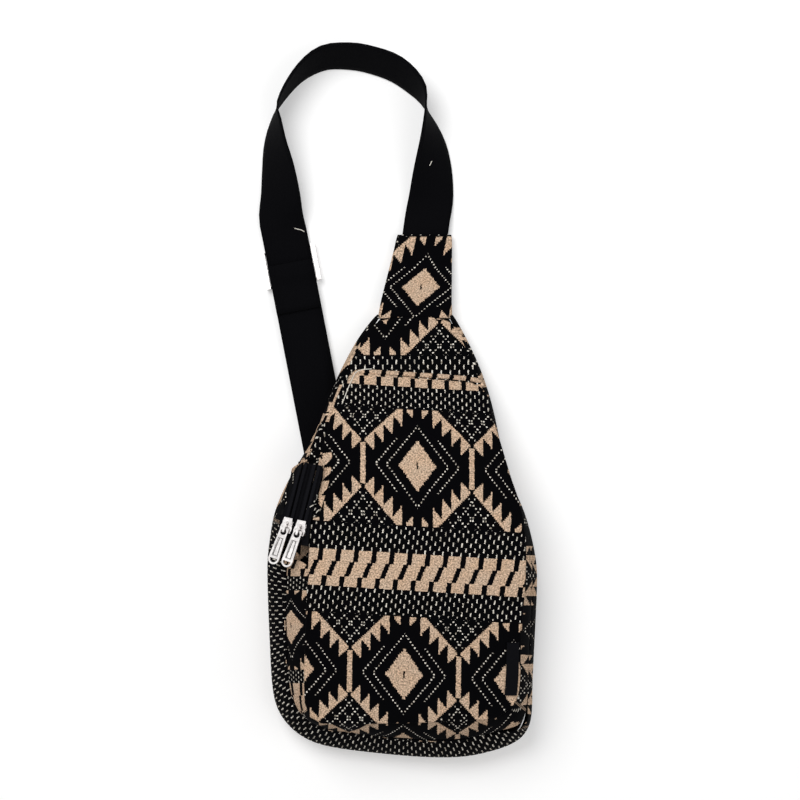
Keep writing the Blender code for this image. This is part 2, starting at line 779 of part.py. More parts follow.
def strap_points():
    """Strap in plan, from the sleeve over the arch to the adjuster: (x, y, turn in degrees)."""
    foot, mouth = neck_frame()
    mx, my = mouth
    top = my + RIGHT_RUN
    half = ARCH_WIDTH / 2
    cx = mx + 0.006 * ARCH_WIDTH - half
    rise = ARCH_RISE
    return [
        (foot.x + (mx - foot.x) * 0.3, BODY_LENGTH + 0.3 * NECK_LENGTH, 0),
        (mx, my, 0),
        (mx + 0.02 * ARCH_WIDTH, my + 0.16 * RIGHT_RUN, 0),
        (mx + 0.048 * ARCH_WIDTH, my + 0.36 * RIGHT_RUN, 18),
        (mx + 0.055 * ARCH_WIDTH, my + 0.71 * RIGHT_RUN, 54),
        (cx + half, top, 90),
        (cx + half * 0.88, top + rise * 0.38, 108),
        (cx + half * 0.6, top + rise * 0.74, 116),
        (cx + half * 0.25, top + rise * 0.93, 116),
        (cx - half * 0.05, top + rise, 115),
        (cx - half * 0.4, top + rise * 0.95, 111),
        (cx - half * 0.73, top + rise * 0.6, 99),
        (cx - half * 0.99, top + rise * 0.03, 88),
        (cx - half * 1.03, top - rise * 0.36, 72),
        (cx - half * 1.035, top - rise * 0.78, 58),
        (cx - half * 1.0, top - rise * 1.24, 44),
        (cx - half * 0.97, top - rise * 1.75, 30),
        (cx - half * 0.965, top - rise * 2.2, 12),
    ]


def left_run_start():
    """Centre of the strap where its straight, flat run begins."""
    x, y, _ = strap_points()[-1]
    step = run_direction() * RUN_LEAD
    return Vector((x, y)) + step


def strap_end_share():
    start = left_run_start()
    return (start.y - RING_SHARE * BODY_LENGTH) / math.cos(LEFT_RUN_TILT)


def strap(look):
    stations = []
    points = strap_points()
    start = left_run_start()
    direction = run_direction()
    points = points + [(start.x, start.y, 0), (*(start + direction * RUN_JOIN), 0)]
    samples = catmull(points, STRAP_STATIONS)
    run = 0.0
    for index, (x, y, turn) in enumerate(samples):
        angle = math.radians(max(0.0, turn))
        low = TURN_SHARE * STRAP_WIDTH / 2 * abs(math.sin(angle)) + STRAP_THICKNESS / 2
        if index:
            run += math.dist((x, y), samples[index - 1][:2])
        near_neck = smoothstep((1.6 * NECK_LENGTH - run) / (0.8 * NECK_LENGTH))
        near_run = smoothstep((index / (STRAP_STATIONS - 1) - 0.8) / 0.1)
        rest = low + STRAP_LIFT * near_run
        level = rest + (STRAP_MID - rest) * near_neck
        stations.append((Vector((x, y, level)), angle, STRAP_WIDTH))
    floor = STRAP_LIFT + STRAP_THICKNESS / 2
    low = SEAM_GAP + STRAP_THICKNESS / 2
    length = strap_end_share()
    for share in (0.3, 0.6, 0.85):
        stations.append((Vector((*(start + direction * length * share), floor)), 0.0, STRAP_WIDTH))
    stations.append((Vector((*(start + direction * (length - RING_STUB)), low)), 0.0, STRAP_WIDTH))
    stations.append((Vector((*(start + direction * length), low)), 0.0, STRAP_WIDTH))
    turn_height = STRAP_THICKNESS + BAR + 2 * SEAM_GAP
    centre = start + direction * length
    for angle in (45, 90, 135, 180):
        a = math.radians(angle)
        plan = centre + direction * (turn_height / 2 * math.sin(a))
        stations.append((Vector((*plan, low + turn_height / 2 * (1 - math.cos(a)))), 0.0, STRAP_WIDTH))
    stub = centre - direction * RING_STUB
    stations.append((Vector((*stub, low + turn_height)), 0.0, STRAP_WIDTH))
    return folded_ribbon("strap", look, stations)


def folded_ribbon(name, look, stations):
    """Flat webbing along stations of (centre, turn about its run in radians, width), which may fold back."""
    upper = []
    lower = []
    level = None
    for i, (centre, turn, width) in enumerate(stations):
        ahead = stations[min(i + 1, len(stations) - 1)][0] - stations[max(i - 1, 0)][0]
        flat = Vector((-ahead.y, ahead.x, 0))
        if level is None or (flat.length > 1e-5 and flat.normalized().dot(level) > 0.3):
            level = flat.normalized()
        across = level * math.cos(turn) + Vector((0, 0, 1)) * math.sin(turn)
        off = ahead.normalized().cross(across).normalized()
        edges = [centre + across * (width / 2 * k) for k in (-1, 0, 1)]
        upper.append([p + off * STRAP_THICKNESS / 2 for p in edges])
        lower.append([p - off * STRAP_THICKNESS / 2 for p in edges])
    return link(name, between(upper, lower), look)


def adjuster_place():
    start = left_run_start()
    centre = start + run_direction() * ADJUSTER_DROP
    return centre, run_direction()


END_LEVEL = STRAP_LIFT + STRAP_THICKNESS + SEAM_GAP


def strap_end(look):
    """Webbing from near the ring up to the adjuster, round its middle bar and back, stitched to itself."""
    centre, direction = adjuster_place()
    low = END_LEVEL + STRAP_THICKNESS / 2
    turn = STRAP_THICKNESS + BAR + 2 * SEAM_GAP
    stations = [(Vector((*(centre + direction * END_TAIL), low)), 0.0, STRAP_WIDTH)]
    stations.append((Vector((*(centre + direction * LAP_LENGTH), low)), 0.0, STRAP_WIDTH))
    stations.append((Vector((*centre, low)), 0.0, STRAP_WIDTH))
    for angle in (30, 60, 90, 120, 150, 180):
        a = math.radians(angle)
        plan = centre - direction * (turn / 2 * math.sin(a))
        stations.append((Vector((*plan, low + turn / 2 * (1 - math.cos(a)))), 0.0, STRAP_WIDTH))
    stations.append((Vector((*(centre + direction * WRAP_START), low + turn - WRAP_SLACK)), 0.0, STRAP_WIDTH))
    lap = low + STRAP_THICKNESS + SEAM_GAP
    stations.append((Vector((*(centre + direction * LAP_START), lap)), 0.0, STRAP_WIDTH))
    stations.append((Vector((*(centre + direction * LAP_LENGTH), lap)), 0.0, STRAP_WIDTH))
    return folded_ribbon("strap_end", look, stations)


def box_in(name, look, centre, direction, sides, levels, ends):
    """Box along a plan direction: sides across it, ends along it, levels in height."""
    across = Vector((-direction.y, direction.x))
    points = []
    for z in levels:
        for s, e in ((sides[0], ends[0]), (sides[1], ends[0]), (sides[1], ends[1]), (sides[0], ends[1])):
            plan = centre + across * s + direction * e
            points.append(Vector((plan.x, plan.y, z)))
    faces = [(0, 1, 2, 3), (7, 6, 5, 4), (0, 1, 5, 4), (1, 2, 6, 5), (2, 3, 7, 6), (3, 0, 4, 7)]
    return link(name, mesh_of(points, faces), look)


def strap_adjuster(look):
    """Three-bar slide: its end bars pass under the strap, and the strap's end wraps its middle bar."""
    centre, direction = adjuster_place()
    inner = STRAP_WIDTH / 2 + STRAP_PLAY
    outer = inner + SIDE_BAR
    half = ADJUSTER_HEIGHT / 2
    middle = END_LEVEL + STRAP_THICKNESS + SEAM_GAP
    top = middle + BAR
    place = (look, centre, direction)
    ends = (-half, half)
    across = (-inner - BAR, inner + BAR)
    base = box_in("strap_adjuster", *place, (-outer, -inner), (0, top), ends)
    parts = [
        box_in("side", *place, (inner, outer), (0, top), ends),
        box_in("upper", *place, across, (JOINT_STEP, BAR), (-half + BAR_STEP, -half + BAR)),
        box_in("lower", *place, across, (JOINT_STEP, BAR), (half - BAR, half - BAR_STEP)),
        box_in("middle", *place, across, (middle, top - JOINT_STEP), (-0.3 * BAR, BAR / 2)),
    ]
    return union(base, parts)


def ring_place():
    start = left_run_start()
    direction = run_direction()
    return start + direction * strap_end_share(), direction


def strap_ring(look):
    centre, direction = ring_place()
    inner = STRAP_WIDTH / 2 + STRAP_PLAY
    outer = inner + BAR
    low = SEAM_GAP * 2 + STRAP_THICKNESS
    levels = (low, low + BAR)
    slot = RING_LENGTH
    place = (look, centre, direction)
    ends = (-BAR / 2, slot)
    across = (-inner - BAR / 2, inner + BAR / 2)
    inside = (levels[0] + JOINT_STEP, levels[1] - JOINT_STEP)
    base = box_in("strap_ring", *place, (-outer, -inner), levels, ends)
    parts = [
        box_in("side", *place, (inner, outer), levels, ends),
        box_in("near", *place, across, inside, (-BAR / 2 + JOINT_STEP, 0.3 * BAR)),
        box_in("far", *place, across, inside, (slot - 0.8 * BAR, slot - JOINT_STEP)),
    ]
    return union(base, parts)


def ring_tab(look):
    """Webbing that wraps the ring's far bar and is sewn under the bottom seam."""
    centre, direction = ring_place()
    bar = centre + direction * (RING_LENGTH - BAR / 2)
    low = SEAM_GAP + STRAP_THICKNESS / 2
    turn = STRAP_THICKNESS + BAR + 2 * SEAM_GAP
    width = STRAP_WIDTH
    end = TAB_LENGTH
    stations = [(Vector((*(bar + direction * end), low)), 0.0, width), (Vector((*bar, low)), 0.0, width)]
    for angle in (45, 90, 135, 180):
        a = math.radians(angle)
        plan = bar - direction * (turn / 2 * math.sin(a))
        stations.append((Vector((*plan, low + turn / 2 * (1 - math.cos(a)))), 0.0, width))
    stations.append((Vector((*(bar + direction * end), low + turn)), 0.0, width))
    return folded_ribbon("ring_tab", look, stations)


def strap_groove():
    """Cutter for the channel that the strap and its ring press into the padded back."""
    start = left_run_start()
    direction = run_direction()
    half = STRAP_WIDTH / 2 + STRAP_PLAY + BAR + 2 * SEAM_GAP
    top = 2 * STRAP_THICKNESS + BAR + 4 * SEAM_GAP
    end = strap_end_share() + RING_LENGTH + TAB_LENGTH
    cutter = box_in("strap_groove", None, start, direction, (-half, half), (-MM, top), (0, end))
    cutter.hide_render = True
    cutter.display_type = "WIRE"
    return cutter


def label_tab(look):
    """Folded tab in the right seam of the front panel, lying on the panel."""
    rows = []
    steps = 5
    for i in range(steps + 1):
        y = 0.16 * BODY_LENGTH + LABEL_LENGTH * i / steps
        right = width_at(POCKET, y)[1]
        line = []
        for k in (1, 0.5, 0):
            x = right - LABEL_WIDTH * k - MM
            line.append(Vector((x, y, pocket_height(x, y) + SEAM_GAP + LABEL_THICKNESS)))
        rows.append(line)
    return link("label_tab", cloth(rows, LABEL_THICKNESS), look)


def divider_facing(look, zips):
    """Strip from the middle panel's edge up to where the two zips' tapes meet."""
    grids = []
    for side in (-1, 1):
        feet = []
        heads = []
        for i in range(5):
            y = -ZIP_BELOW * 0.7 + ZIP_LENGTH * 0.75 * i / 4
            head = zips[0].at(ZIP_PITCH / 2 + SEW_GAP + side * TAPE * 0.4, y, -TAPE - SEAM_GAP)
            low = front_height(head.x, head.y) + SEAM_GAP
            feet.append(Vector((head.x, head.y, min(low, head.z - 2 * FABRIC))))
            heads.append(head)
        grids.append([feet, heads])
    return link("divider_facing", between(*grids), look)


def centre_on_floor():
    """Moves everything so that the origin is under the middle of the whole bag."""
    bpy.context.view_layer.update()
    shown = [obj for obj in bpy.data.objects if not obj.hide_render]
    corners = [obj.matrix_world @ Vector(corner) for obj in shown for corner in obj.bound_box]
    middle = [(min(c[k] for c in corners) + max(c[k] for c in corners)) / 2 for k in (0, 1)]
    shift = Vector((*middle, min(c.z for c in corners)))
    for obj in bpy.data.objects:
        obj.location -= shift


def main():
    for obj in list(bpy.data.objects):
        bpy.data.objects.remove(obj)
    pattern = material("patterned cotton", (0.06, 0.05, 0.04), 0.9)
    tan = material("patterned cotton front", (0.3, 0.22, 0.15), 0.9)
    lining = material("back cotton", (0.03, 0.03, 0.03), 0.9)
    webbing = material("black cotton webbing", (0.006, 0.006, 0.007), 0.85)
    zip_tape = material("black zip tape", (0.008, 0.008, 0.009), 0.8)
    zip_coil = material("black nylon coil", (0.01, 0.01, 0.01), 0.5)
    nickel = material("nickel plate", (0.75, 0.74, 0.72), 0.25, 1.0)

    back_panel(lining, strap_groove())
    main_gusset(pattern)
    middle_panel(tan)
    front_gusset(pattern)
    front_panel(tan)
    neck_sleeve(tan)
    strap(webbing)
    strap_end(webbing)
    strap_adjuster(nickel)
    strap_ring(nickel)
    ring_tab(webbing)
    label_tab(webbing)
    zips = [ZipLine(0), ZipLine(1)]
    divider_facing(lining, zips)
    for name, zip_line, inner in (("main", zips[0], False), ("pocket", zips[1], True)):
        tape(name + "_tape_outer", zip_tape, zip_line, -1, not inner)
        tape(name + "_tape_inner", zip_tape, zip_line, 1, inner)
        coil(name + "_coil_outer", zip_coil, zip_line, -1)
        coil(name + "_coil_inner", zip_coil, zip_line, 1)
        slider(name + "_slider", nickel, zip_line)
        pull(name + "_pull", nickel, zip_line)
    centre_on_floor()


main()
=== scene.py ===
"""Looks for a crossbody sling bag of jacquard cotton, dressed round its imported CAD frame. Metres, +Z up."""

import math

import bmesh
import bpy
import numpy as np
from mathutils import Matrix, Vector, noise
from mathutils.bvhtree import BVHTree


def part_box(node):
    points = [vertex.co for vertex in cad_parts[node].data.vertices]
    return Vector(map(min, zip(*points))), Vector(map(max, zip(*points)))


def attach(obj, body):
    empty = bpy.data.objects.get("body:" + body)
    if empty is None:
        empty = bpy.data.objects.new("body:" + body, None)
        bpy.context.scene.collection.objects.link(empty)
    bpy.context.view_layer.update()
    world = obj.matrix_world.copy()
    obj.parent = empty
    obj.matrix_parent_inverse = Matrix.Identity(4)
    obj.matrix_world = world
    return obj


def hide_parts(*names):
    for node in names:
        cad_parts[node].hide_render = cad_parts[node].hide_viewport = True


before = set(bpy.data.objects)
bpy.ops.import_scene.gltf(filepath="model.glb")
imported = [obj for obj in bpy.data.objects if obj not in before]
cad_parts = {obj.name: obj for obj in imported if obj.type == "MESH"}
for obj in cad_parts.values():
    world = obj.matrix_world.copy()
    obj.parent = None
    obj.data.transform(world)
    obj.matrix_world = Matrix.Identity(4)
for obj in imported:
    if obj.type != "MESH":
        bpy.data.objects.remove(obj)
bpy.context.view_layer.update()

MM = 0.001

# The photograph: taken from straight above, one pixel in this many metres at the level of the bag's middle
PIXEL = 0.7 * MM
PHOTO_MIDDLE = (400, 400)
PHOTO_LEVEL = 20 * MM
CAMERA_HEIGHT = 1.5
FRAME_PIXELS = 800
CAMERA_PLACE = Vector((1.78 * MM, 1.09 * MM))
SENSOR = 36
SOFT_BOX = ((-0.55, 0.75, 1.6), 1.1, 22)
FILL = ((0.9, -0.3, 1.3), 1.4, 6)
AIR_LIGHT = 0.3
FLOOR_GLOW = 0.3
FLOOR_REACH = 3.0
FLOOR_DROP = 0.2 * MM
WHITE = (1, 1, 1, 1)
PAPER = (0.8, 0.8, 0.8, 1)


def camera():
    data = bpy.data.cameras.new("camera above")
    data.sensor_width = SENSOR
    data.lens = SENSOR * (CAMERA_HEIGHT - PHOTO_LEVEL) / (FRAME_PIXELS * PIXEL)
    made = bpy.data.objects.new("camera above", data)
    made.location = (*CAMERA_PLACE, CAMERA_HEIGHT)
    bpy.context.scene.collection.objects.link(made)
    bpy.context.scene.camera = made
    bpy.context.scene.view_settings.view_transform = "Standard"


def area_light(name, place, size, power):
    data = bpy.data.lights.new(name, "AREA")
    data.shape = "DISK"
    data.size = size
    data.energy = power
    made = bpy.data.objects.new(name, data)
    made.location = place
    made.rotation_euler = (Vector((0, 0, 0)) - Vector(place)).to_track_quat("-Z", "Y").to_euler()
    bpy.context.scene.collection.objects.link(made)


def node(tree, kind, settings=None, links=None):
    """Adds a shader node. Settings are its own properties; links give an input's value or source."""
    made = tree.nodes.new(kind)
    for key, value in (settings or {}).items():
        setattr(made, key, value)
    for key, value in (links or {}).items():
        socket = made.inputs[key]
        if isinstance(value, bpy.types.NodeSocket):
            tree.links.new(value, socket)
        else:
            socket.default_value = value
    return made


def linear(code):
    """Linear colour of an sRGB hex code."""
    channels = [int(code[i : i + 2], 16) / 255 for i in (1, 3, 5)]
    return (*[c / 12.92 if c <= 0.04045 else ((c + 0.055) / 1.055) ** 2.4 for c in channels], 1.0)


def blank(name):
    made = bpy.data.materials.new(name)
    made.use_nodes = True
    tree = made.node_tree
    tree.nodes.clear()
    return made, tree


def straight_sight(tree):
    """1 for a ray from the camera, straight or by way of metal or glass."""
    path = node(tree, "ShaderNodeLightPath")
    share = path.outputs["Is Camera Ray"]
    for ray in ("Is Glossy Ray", "Is Transmission Ray"):
        links = {0: share, 1: path.outputs[ray]}
        share = node(tree, "ShaderNodeMath", {"operation": "MAXIMUM"}, links).outputs[0]
    return share


def studio():
    area_light("soft box", *SOFT_BOX)
    area_light("fill", *FILL)
    world = bpy.data.worlds.new("studio air")
    world.use_nodes = True
    bpy.context.scene.world = world
    tree = world.node_tree
    tree.nodes.clear()
    strength = node(
        tree, "ShaderNodeMapRange", None,
        {"Value": straight_sight(tree), "To Min": AIR_LIGHT, "To Max": 1.0},
    )
    air = node(tree, "ShaderNodeBackground", None, {"Color": WHITE, "Strength": strength.outputs[0]})
    node(tree, "ShaderNodeOutputWorld", None, {"Surface": air.outputs[0]})

    floor_mesh = bpy.data.meshes.new("floor")
    reach = FLOOR_REACH
    corners = [(-reach, -reach, 0), (reach, -reach, 0), (reach, reach, 0), (-reach, reach, 0)]
    floor_mesh.from_pydata(corners, [], [(0, 1, 2, 3)])
    floor = bpy.data.objects.new("floor", floor_mesh)
    bpy.context.scene.collection.objects.link(floor)
    look, tree = blank("white paper")
    glow = node(tree, "ShaderNodeMath", {"operation": "MULTIPLY"}, {0: straight_sight(tree), 1: FLOOR_GLOW})
    paper = node(tree, "ShaderNodeBsdfDiffuse", None, {"Color": PAPER})
    light = node(tree, "ShaderNodeEmission", None, {"Color": WHITE, "Strength": glow.outputs[0]})
    both = node(tree, "ShaderNodeAddShader", None, {0: paper.outputs[0], 1: light.outputs[0]})
    node(tree, "ShaderNodeOutputMaterial", None, {"Surface": both.outputs[0]})
    floor_mesh.materials.append(look)
    floor.location.z = -FLOOR_DROP


# The cloth's motif is drawn in stitches: this is the size of one
STITCH = 0.7 * MM
REPEAT_ACROSS = 109.0
REPEAT_ALONG = 208.5
BAND = 56.0
DASH_PITCH = 9.0
DASH_ROW = 5.2
DOT_PITCH = 2.76
DOT = 0.68
DASH = 0.6
SLIT = 1.7
SLIT_HALF = 0.8
STEM_HALF = 2.5
TRELLIS_HALF = 7.2
TRELLIS_LEAN = 1.15
TRELLIS_NODE = 32.5
BLOCK_TOP = 85.8
BLOCK_PITCH = 18.0
BLOCK_HEIGHT = 37.0
BLOCK_WIDTH = 12.9
BLOCK_EDGE = -0.65
BLOCK_SECOND = 11.8
BLOCK_THIRD = 26.8
BLOCK_STEP = 3.3
BLOCK_LAST_STEP = 4.4
BLOCK_SLANT = 0.27
UPPER_BAND = -60.0
UPPER_SHIFT = 8.7
DASH_EDGE = 2.4
DASH_TOP = 81.1
INNER_RING = (31.0, 39.3)
OUTER_RING = (41.6, 52.4)
DIAMOND = (17.3, 23.7)
TOOTH = 9.6
TOOTH_STEP = 8.2
TOOTH_DROP = 10.6
TOOTH_TIP = 12.5
TEETH = 4
TRIANGLE_APEX = 21.0
TRIANGLE_EDGE = 2.0
STEM_HIGH = TRIANGLE_APEX - 0.5
WEDGE_SLOPE = 1.25
WEDGE_FOOT = 40.75
WEDGE_AT = 7.5
WEDGE_HALF = 3.2
DASH_LONG = 0.43
BAND_GAP = 1.5
YARN = 1.55
WEBBING_CHEVRON = 9.0
WEBBING_RIB = 0.9

# Each step of the motif: its name, the operation and what goes in. u runs across the cloth and v down it
MOTIF = (
    ("along", "WRAP", "v", REPEAT_ALONG / 2, -REPEAT_ALONG / 2),
    ("high", "ABSOLUTE", "along"),
    ("side", "PINGPONG", "u", REPEAT_ACROSS / 2),
    ("stem_side", "SUBTRACT", REPEAT_ACROSS / 2, "side"),
    ("side_step", "SNAP", "side", YARN),
    ("high_step", "SNAP", "high", YARN),
    ("stem_step", "SUBTRACT", REPEAT_ACROSS / 2, "side_step"),
    ("in_band", "LESS_THAN", "high", BAND),
    # Diamond with its slit
    ("diamond_rise", "DIVIDE", "high_step", DIAMOND[1]),
    ("diamond_sum", "MULTIPLY_ADD", "side_step", 1 / DIAMOND[0], "diamond_rise"),
    ("diamond_full", "LESS_THAN", "diamond_sum", 1.0),
    ("slit_wide", "LESS_THAN", "side", SLIT_HALF),
    ("slit_high", "LESS_THAN", "high", SLIT * 2),
    ("slit", "MULTIPLY", "slit_wide", "slit_high"),
    ("diamond", "SUBTRACT", "diamond_full", "slit"),
    # Rows of dots, on two rings round the diamond
    ("row", "SNAP", "high", DOT_PITCH),
    ("row_middle", "ADD", "row", DOT_PITCH / 2),
    ("in_dot", "COMPARE", "high", "row_middle", DOT),
    ("inner_place", "MULTIPLY_ADD", "row_middle", -INNER_RING[0] / INNER_RING[1], INNER_RING[0]),
    ("inner_ring", "COMPARE", "side", "inner_place", DOT),
    ("outer_place", "MULTIPLY_ADD", "row_middle", -OUTER_RING[0] / OUTER_RING[1], OUTER_RING[0]),
    ("outer_line", "COMPARE", "side", "outer_place", DOT),
    ("outer_short", "LESS_THAN", "high", OUTER_RING[1] / 2),
    ("outer_ring", "MULTIPLY", "outer_line", "outer_short"),
    ("rings", "MAXIMUM", "inner_ring", "outer_ring"),
    ("ring_dots", "MULTIPLY", "rings", "in_dot"),
    # Stem between two medallions
    ("stem_wide", "LESS_THAN", "stem_side", STEM_HALF),
    ("stem_high", "LESS_THAN", "high", STEM_HIGH),
    ("stem", "MULTIPLY", "stem_wide", "stem_high"),
    # Triangle above and below the stem, with a trellis of dots
    ("apex", "SUBTRACT", "high_step", TRIANGLE_APEX),
    ("inside", "SUBTRACT", "apex", "stem_step"),
    ("outside", "LESS_THAN", "inside", 0.0),
    ("within", "GREATER_THAN", "inside", TRIANGLE_EDGE),
    ("row_rise", "SUBTRACT", "row_middle", TRELLIS_NODE),
    ("cross_up", "MULTIPLY_ADD", "stem_side", TRELLIS_LEAN, "row_rise"),
    ("cross_up_far", "PINGPONG", "cross_up", TRELLIS_HALF),
    ("cross_up_line", "LESS_THAN", "cross_up_far", DOT * TRELLIS_LEAN),
    ("cross_down", "MULTIPLY_ADD", "stem_side", -TRELLIS_LEAN, "row_rise"),
    ("cross_down_far", "PINGPONG", "cross_down", TRELLIS_HALF),
    ("cross_down_line", "LESS_THAN", "cross_down_far", DOT * TRELLIS_LEAN),
    ("trellis_lines", "MAXIMUM", "cross_up_line", "cross_down_line"),
    ("trellis_dots", "MULTIPLY", "trellis_lines", "in_dot"),
    ("trellis_in", "MULTIPLY", "trellis_dots", "within"),
    ("trellis", "MULTIPLY", "trellis_in", "in_band"),
    # Teeth along the triangle's sides
    ("tooth_place", "MULTIPLY_ADD", "stem_step", 1 / TOOTH, -TRIANGLE_EDGE / TOOTH),
    ("tooth", "FLOOR", "tooth_place"),
    ("tooth_share", "FRACT", "tooth_place"),
    ("tooth_low", "MULTIPLY_ADD", "tooth", TOOTH_STEP, TOOTH_TIP + TOOTH_DROP),
    ("tooth_edge", "MULTIPLY_ADD", "tooth_share", -TOOTH_DROP, "tooth_low"),
    ("tooth_above", "GREATER_THAN", "high_step", "tooth_edge"),
    ("tooth_first", "GREATER_THAN", "stem_step", TRIANGLE_EDGE),
    ("tooth_last", "LESS_THAN", "stem_step", TRIANGLE_EDGE + TEETH * TOOTH),
    ("teeth_side", "MULTIPLY", "tooth_above", "outside"),
    ("teeth_first", "MULTIPLY", "teeth_side", "tooth_first"),
    ("teeth_last", "MULTIPLY", "teeth_first", "tooth_last"),
    ("teeth", "MULTIPLY", "teeth_last", "in_band"),
    # Two small wedges at the band's edge
    ("wedge_edge", "MULTIPLY_ADD", "side_step", WEDGE_SLOPE, WEDGE_FOOT),
    ("wedge_above", "GREATER_THAN", "high_step", "wedge_edge"),
    ("wedge_side", "COMPARE", "side_step", WEDGE_AT, WEDGE_HALF),
    ("wedge_both", "MULTIPLY", "wedge_above", "wedge_side"),
    ("wedge", "MULTIPLY", "wedge_both", "in_band"),
    # Band of stepped blocks
    ("block_place", "SUBTRACT", "v", BLOCK_TOP),
    ("block_along", "WRAP", "block_place", REPEAT_ALONG, 0.0),
    ("in_block", "LESS_THAN", "block_along", BLOCK_HEIGHT),
    ("in_second", "GREATER_THAN", "block_along", BLOCK_SECOND),
    ("in_third", "GREATER_THAN", "block_along", BLOCK_THIRD),
    ("second_rise", "SUBTRACT", "block_along", BLOCK_SECOND),
    ("second_run", "MAXIMUM", "second_rise", 0.0),
    ("second_end", "MINIMUM", "second_run", BLOCK_THIRD - BLOCK_SECOND),
    ("second_step", "SNAP", "second_end", YARN * 2),
    ("upper", "LESS_THAN", "v", UPPER_BAND),
    ("block_row", "MULTIPLY_ADD", "upper", UPPER_SHIFT, "u"),
    ("block_slant", "MULTIPLY_ADD", "second_step", BLOCK_SLANT, "block_row"),
    ("block_once", "MULTIPLY_ADD", "in_second", BLOCK_STEP, "block_slant"),
    ("block_twice", "MULTIPLY_ADD", "in_third", BLOCK_LAST_STEP, "block_once"),
    ("block_from", "SUBTRACT", "block_twice", BLOCK_EDGE),
    ("block_across", "WRAP", "block_from", BLOCK_PITCH, 0.0),
    ("block_wide", "LESS_THAN", "block_across", BLOCK_WIDTH),
    ("blocks", "MULTIPLY", "in_block", "block_wide"),
    # Staggered rows of dashes in what is left
    ("dash_from", "SUBTRACT", "v", DASH_TOP),
    ("dash_place", "DIVIDE", "dash_from", DASH_ROW),
    ("dash_row", "FLOOR", "dash_place"),
    ("dash_share", "FRACT", "dash_place"),
    ("dash_shift", "MULTIPLY_ADD", "dash_row", DASH_PITCH / 2, "u"),
    ("dash_u", "SUBTRACT", "dash_shift", DASH_EDGE),
    ("dash_far", "PINGPONG", "dash_u", DASH_PITCH / 2),
    ("dash_across", "LESS_THAN", "dash_far", DASH),
    ("dash_high", "COMPARE", "dash_share", 0.5, DASH_LONG),
    ("dash", "MULTIPLY", "dash_across", "dash_high"),
    ("past_band", "GREATER_THAN", "high", BAND + BAND_GAP),
    ("dash_zone", "SUBTRACT", "past_band", "in_block"),
    ("dashes_any", "MULTIPLY", "dash", "dash_zone"),
    ("dashes", "MAXIMUM", "dashes_any", 0.0),
    ("tan_one", "MAXIMUM", "diamond", "stem"),
    ("tan_two", "MAXIMUM", "teeth", "wedge"),
    ("tan_three", "MAXIMUM", "tan_one", "tan_two"),
    ("tan", "MAXIMUM", "tan_three", "blocks"),
    ("cream_one", "MAXIMUM", "ring_dots", "trellis"),
    ("cream", "MAXIMUM", "cream_one", "dashes"),
)

CLOTH_MAP = "cloth"
TINY = 1e-9

# Waves of noise over the cloth, in stitches: the weave wanders over 6.4 mm, its threads jitter over 1.7 mm,
# floats are speckled at 1.2 mm, coarser than real ones so that they show, and the tan drifts over 12 mm
WANDER_WAVE = 0.11
JITTER_WAVE = 0.42
SPECKLE_WAVE = 0.6
PATCH_WAVE = 0.06
WANDER_REACH = (1.3, 1.3, 0)
JITTER_REACH = (1.7, 1.2, 0)


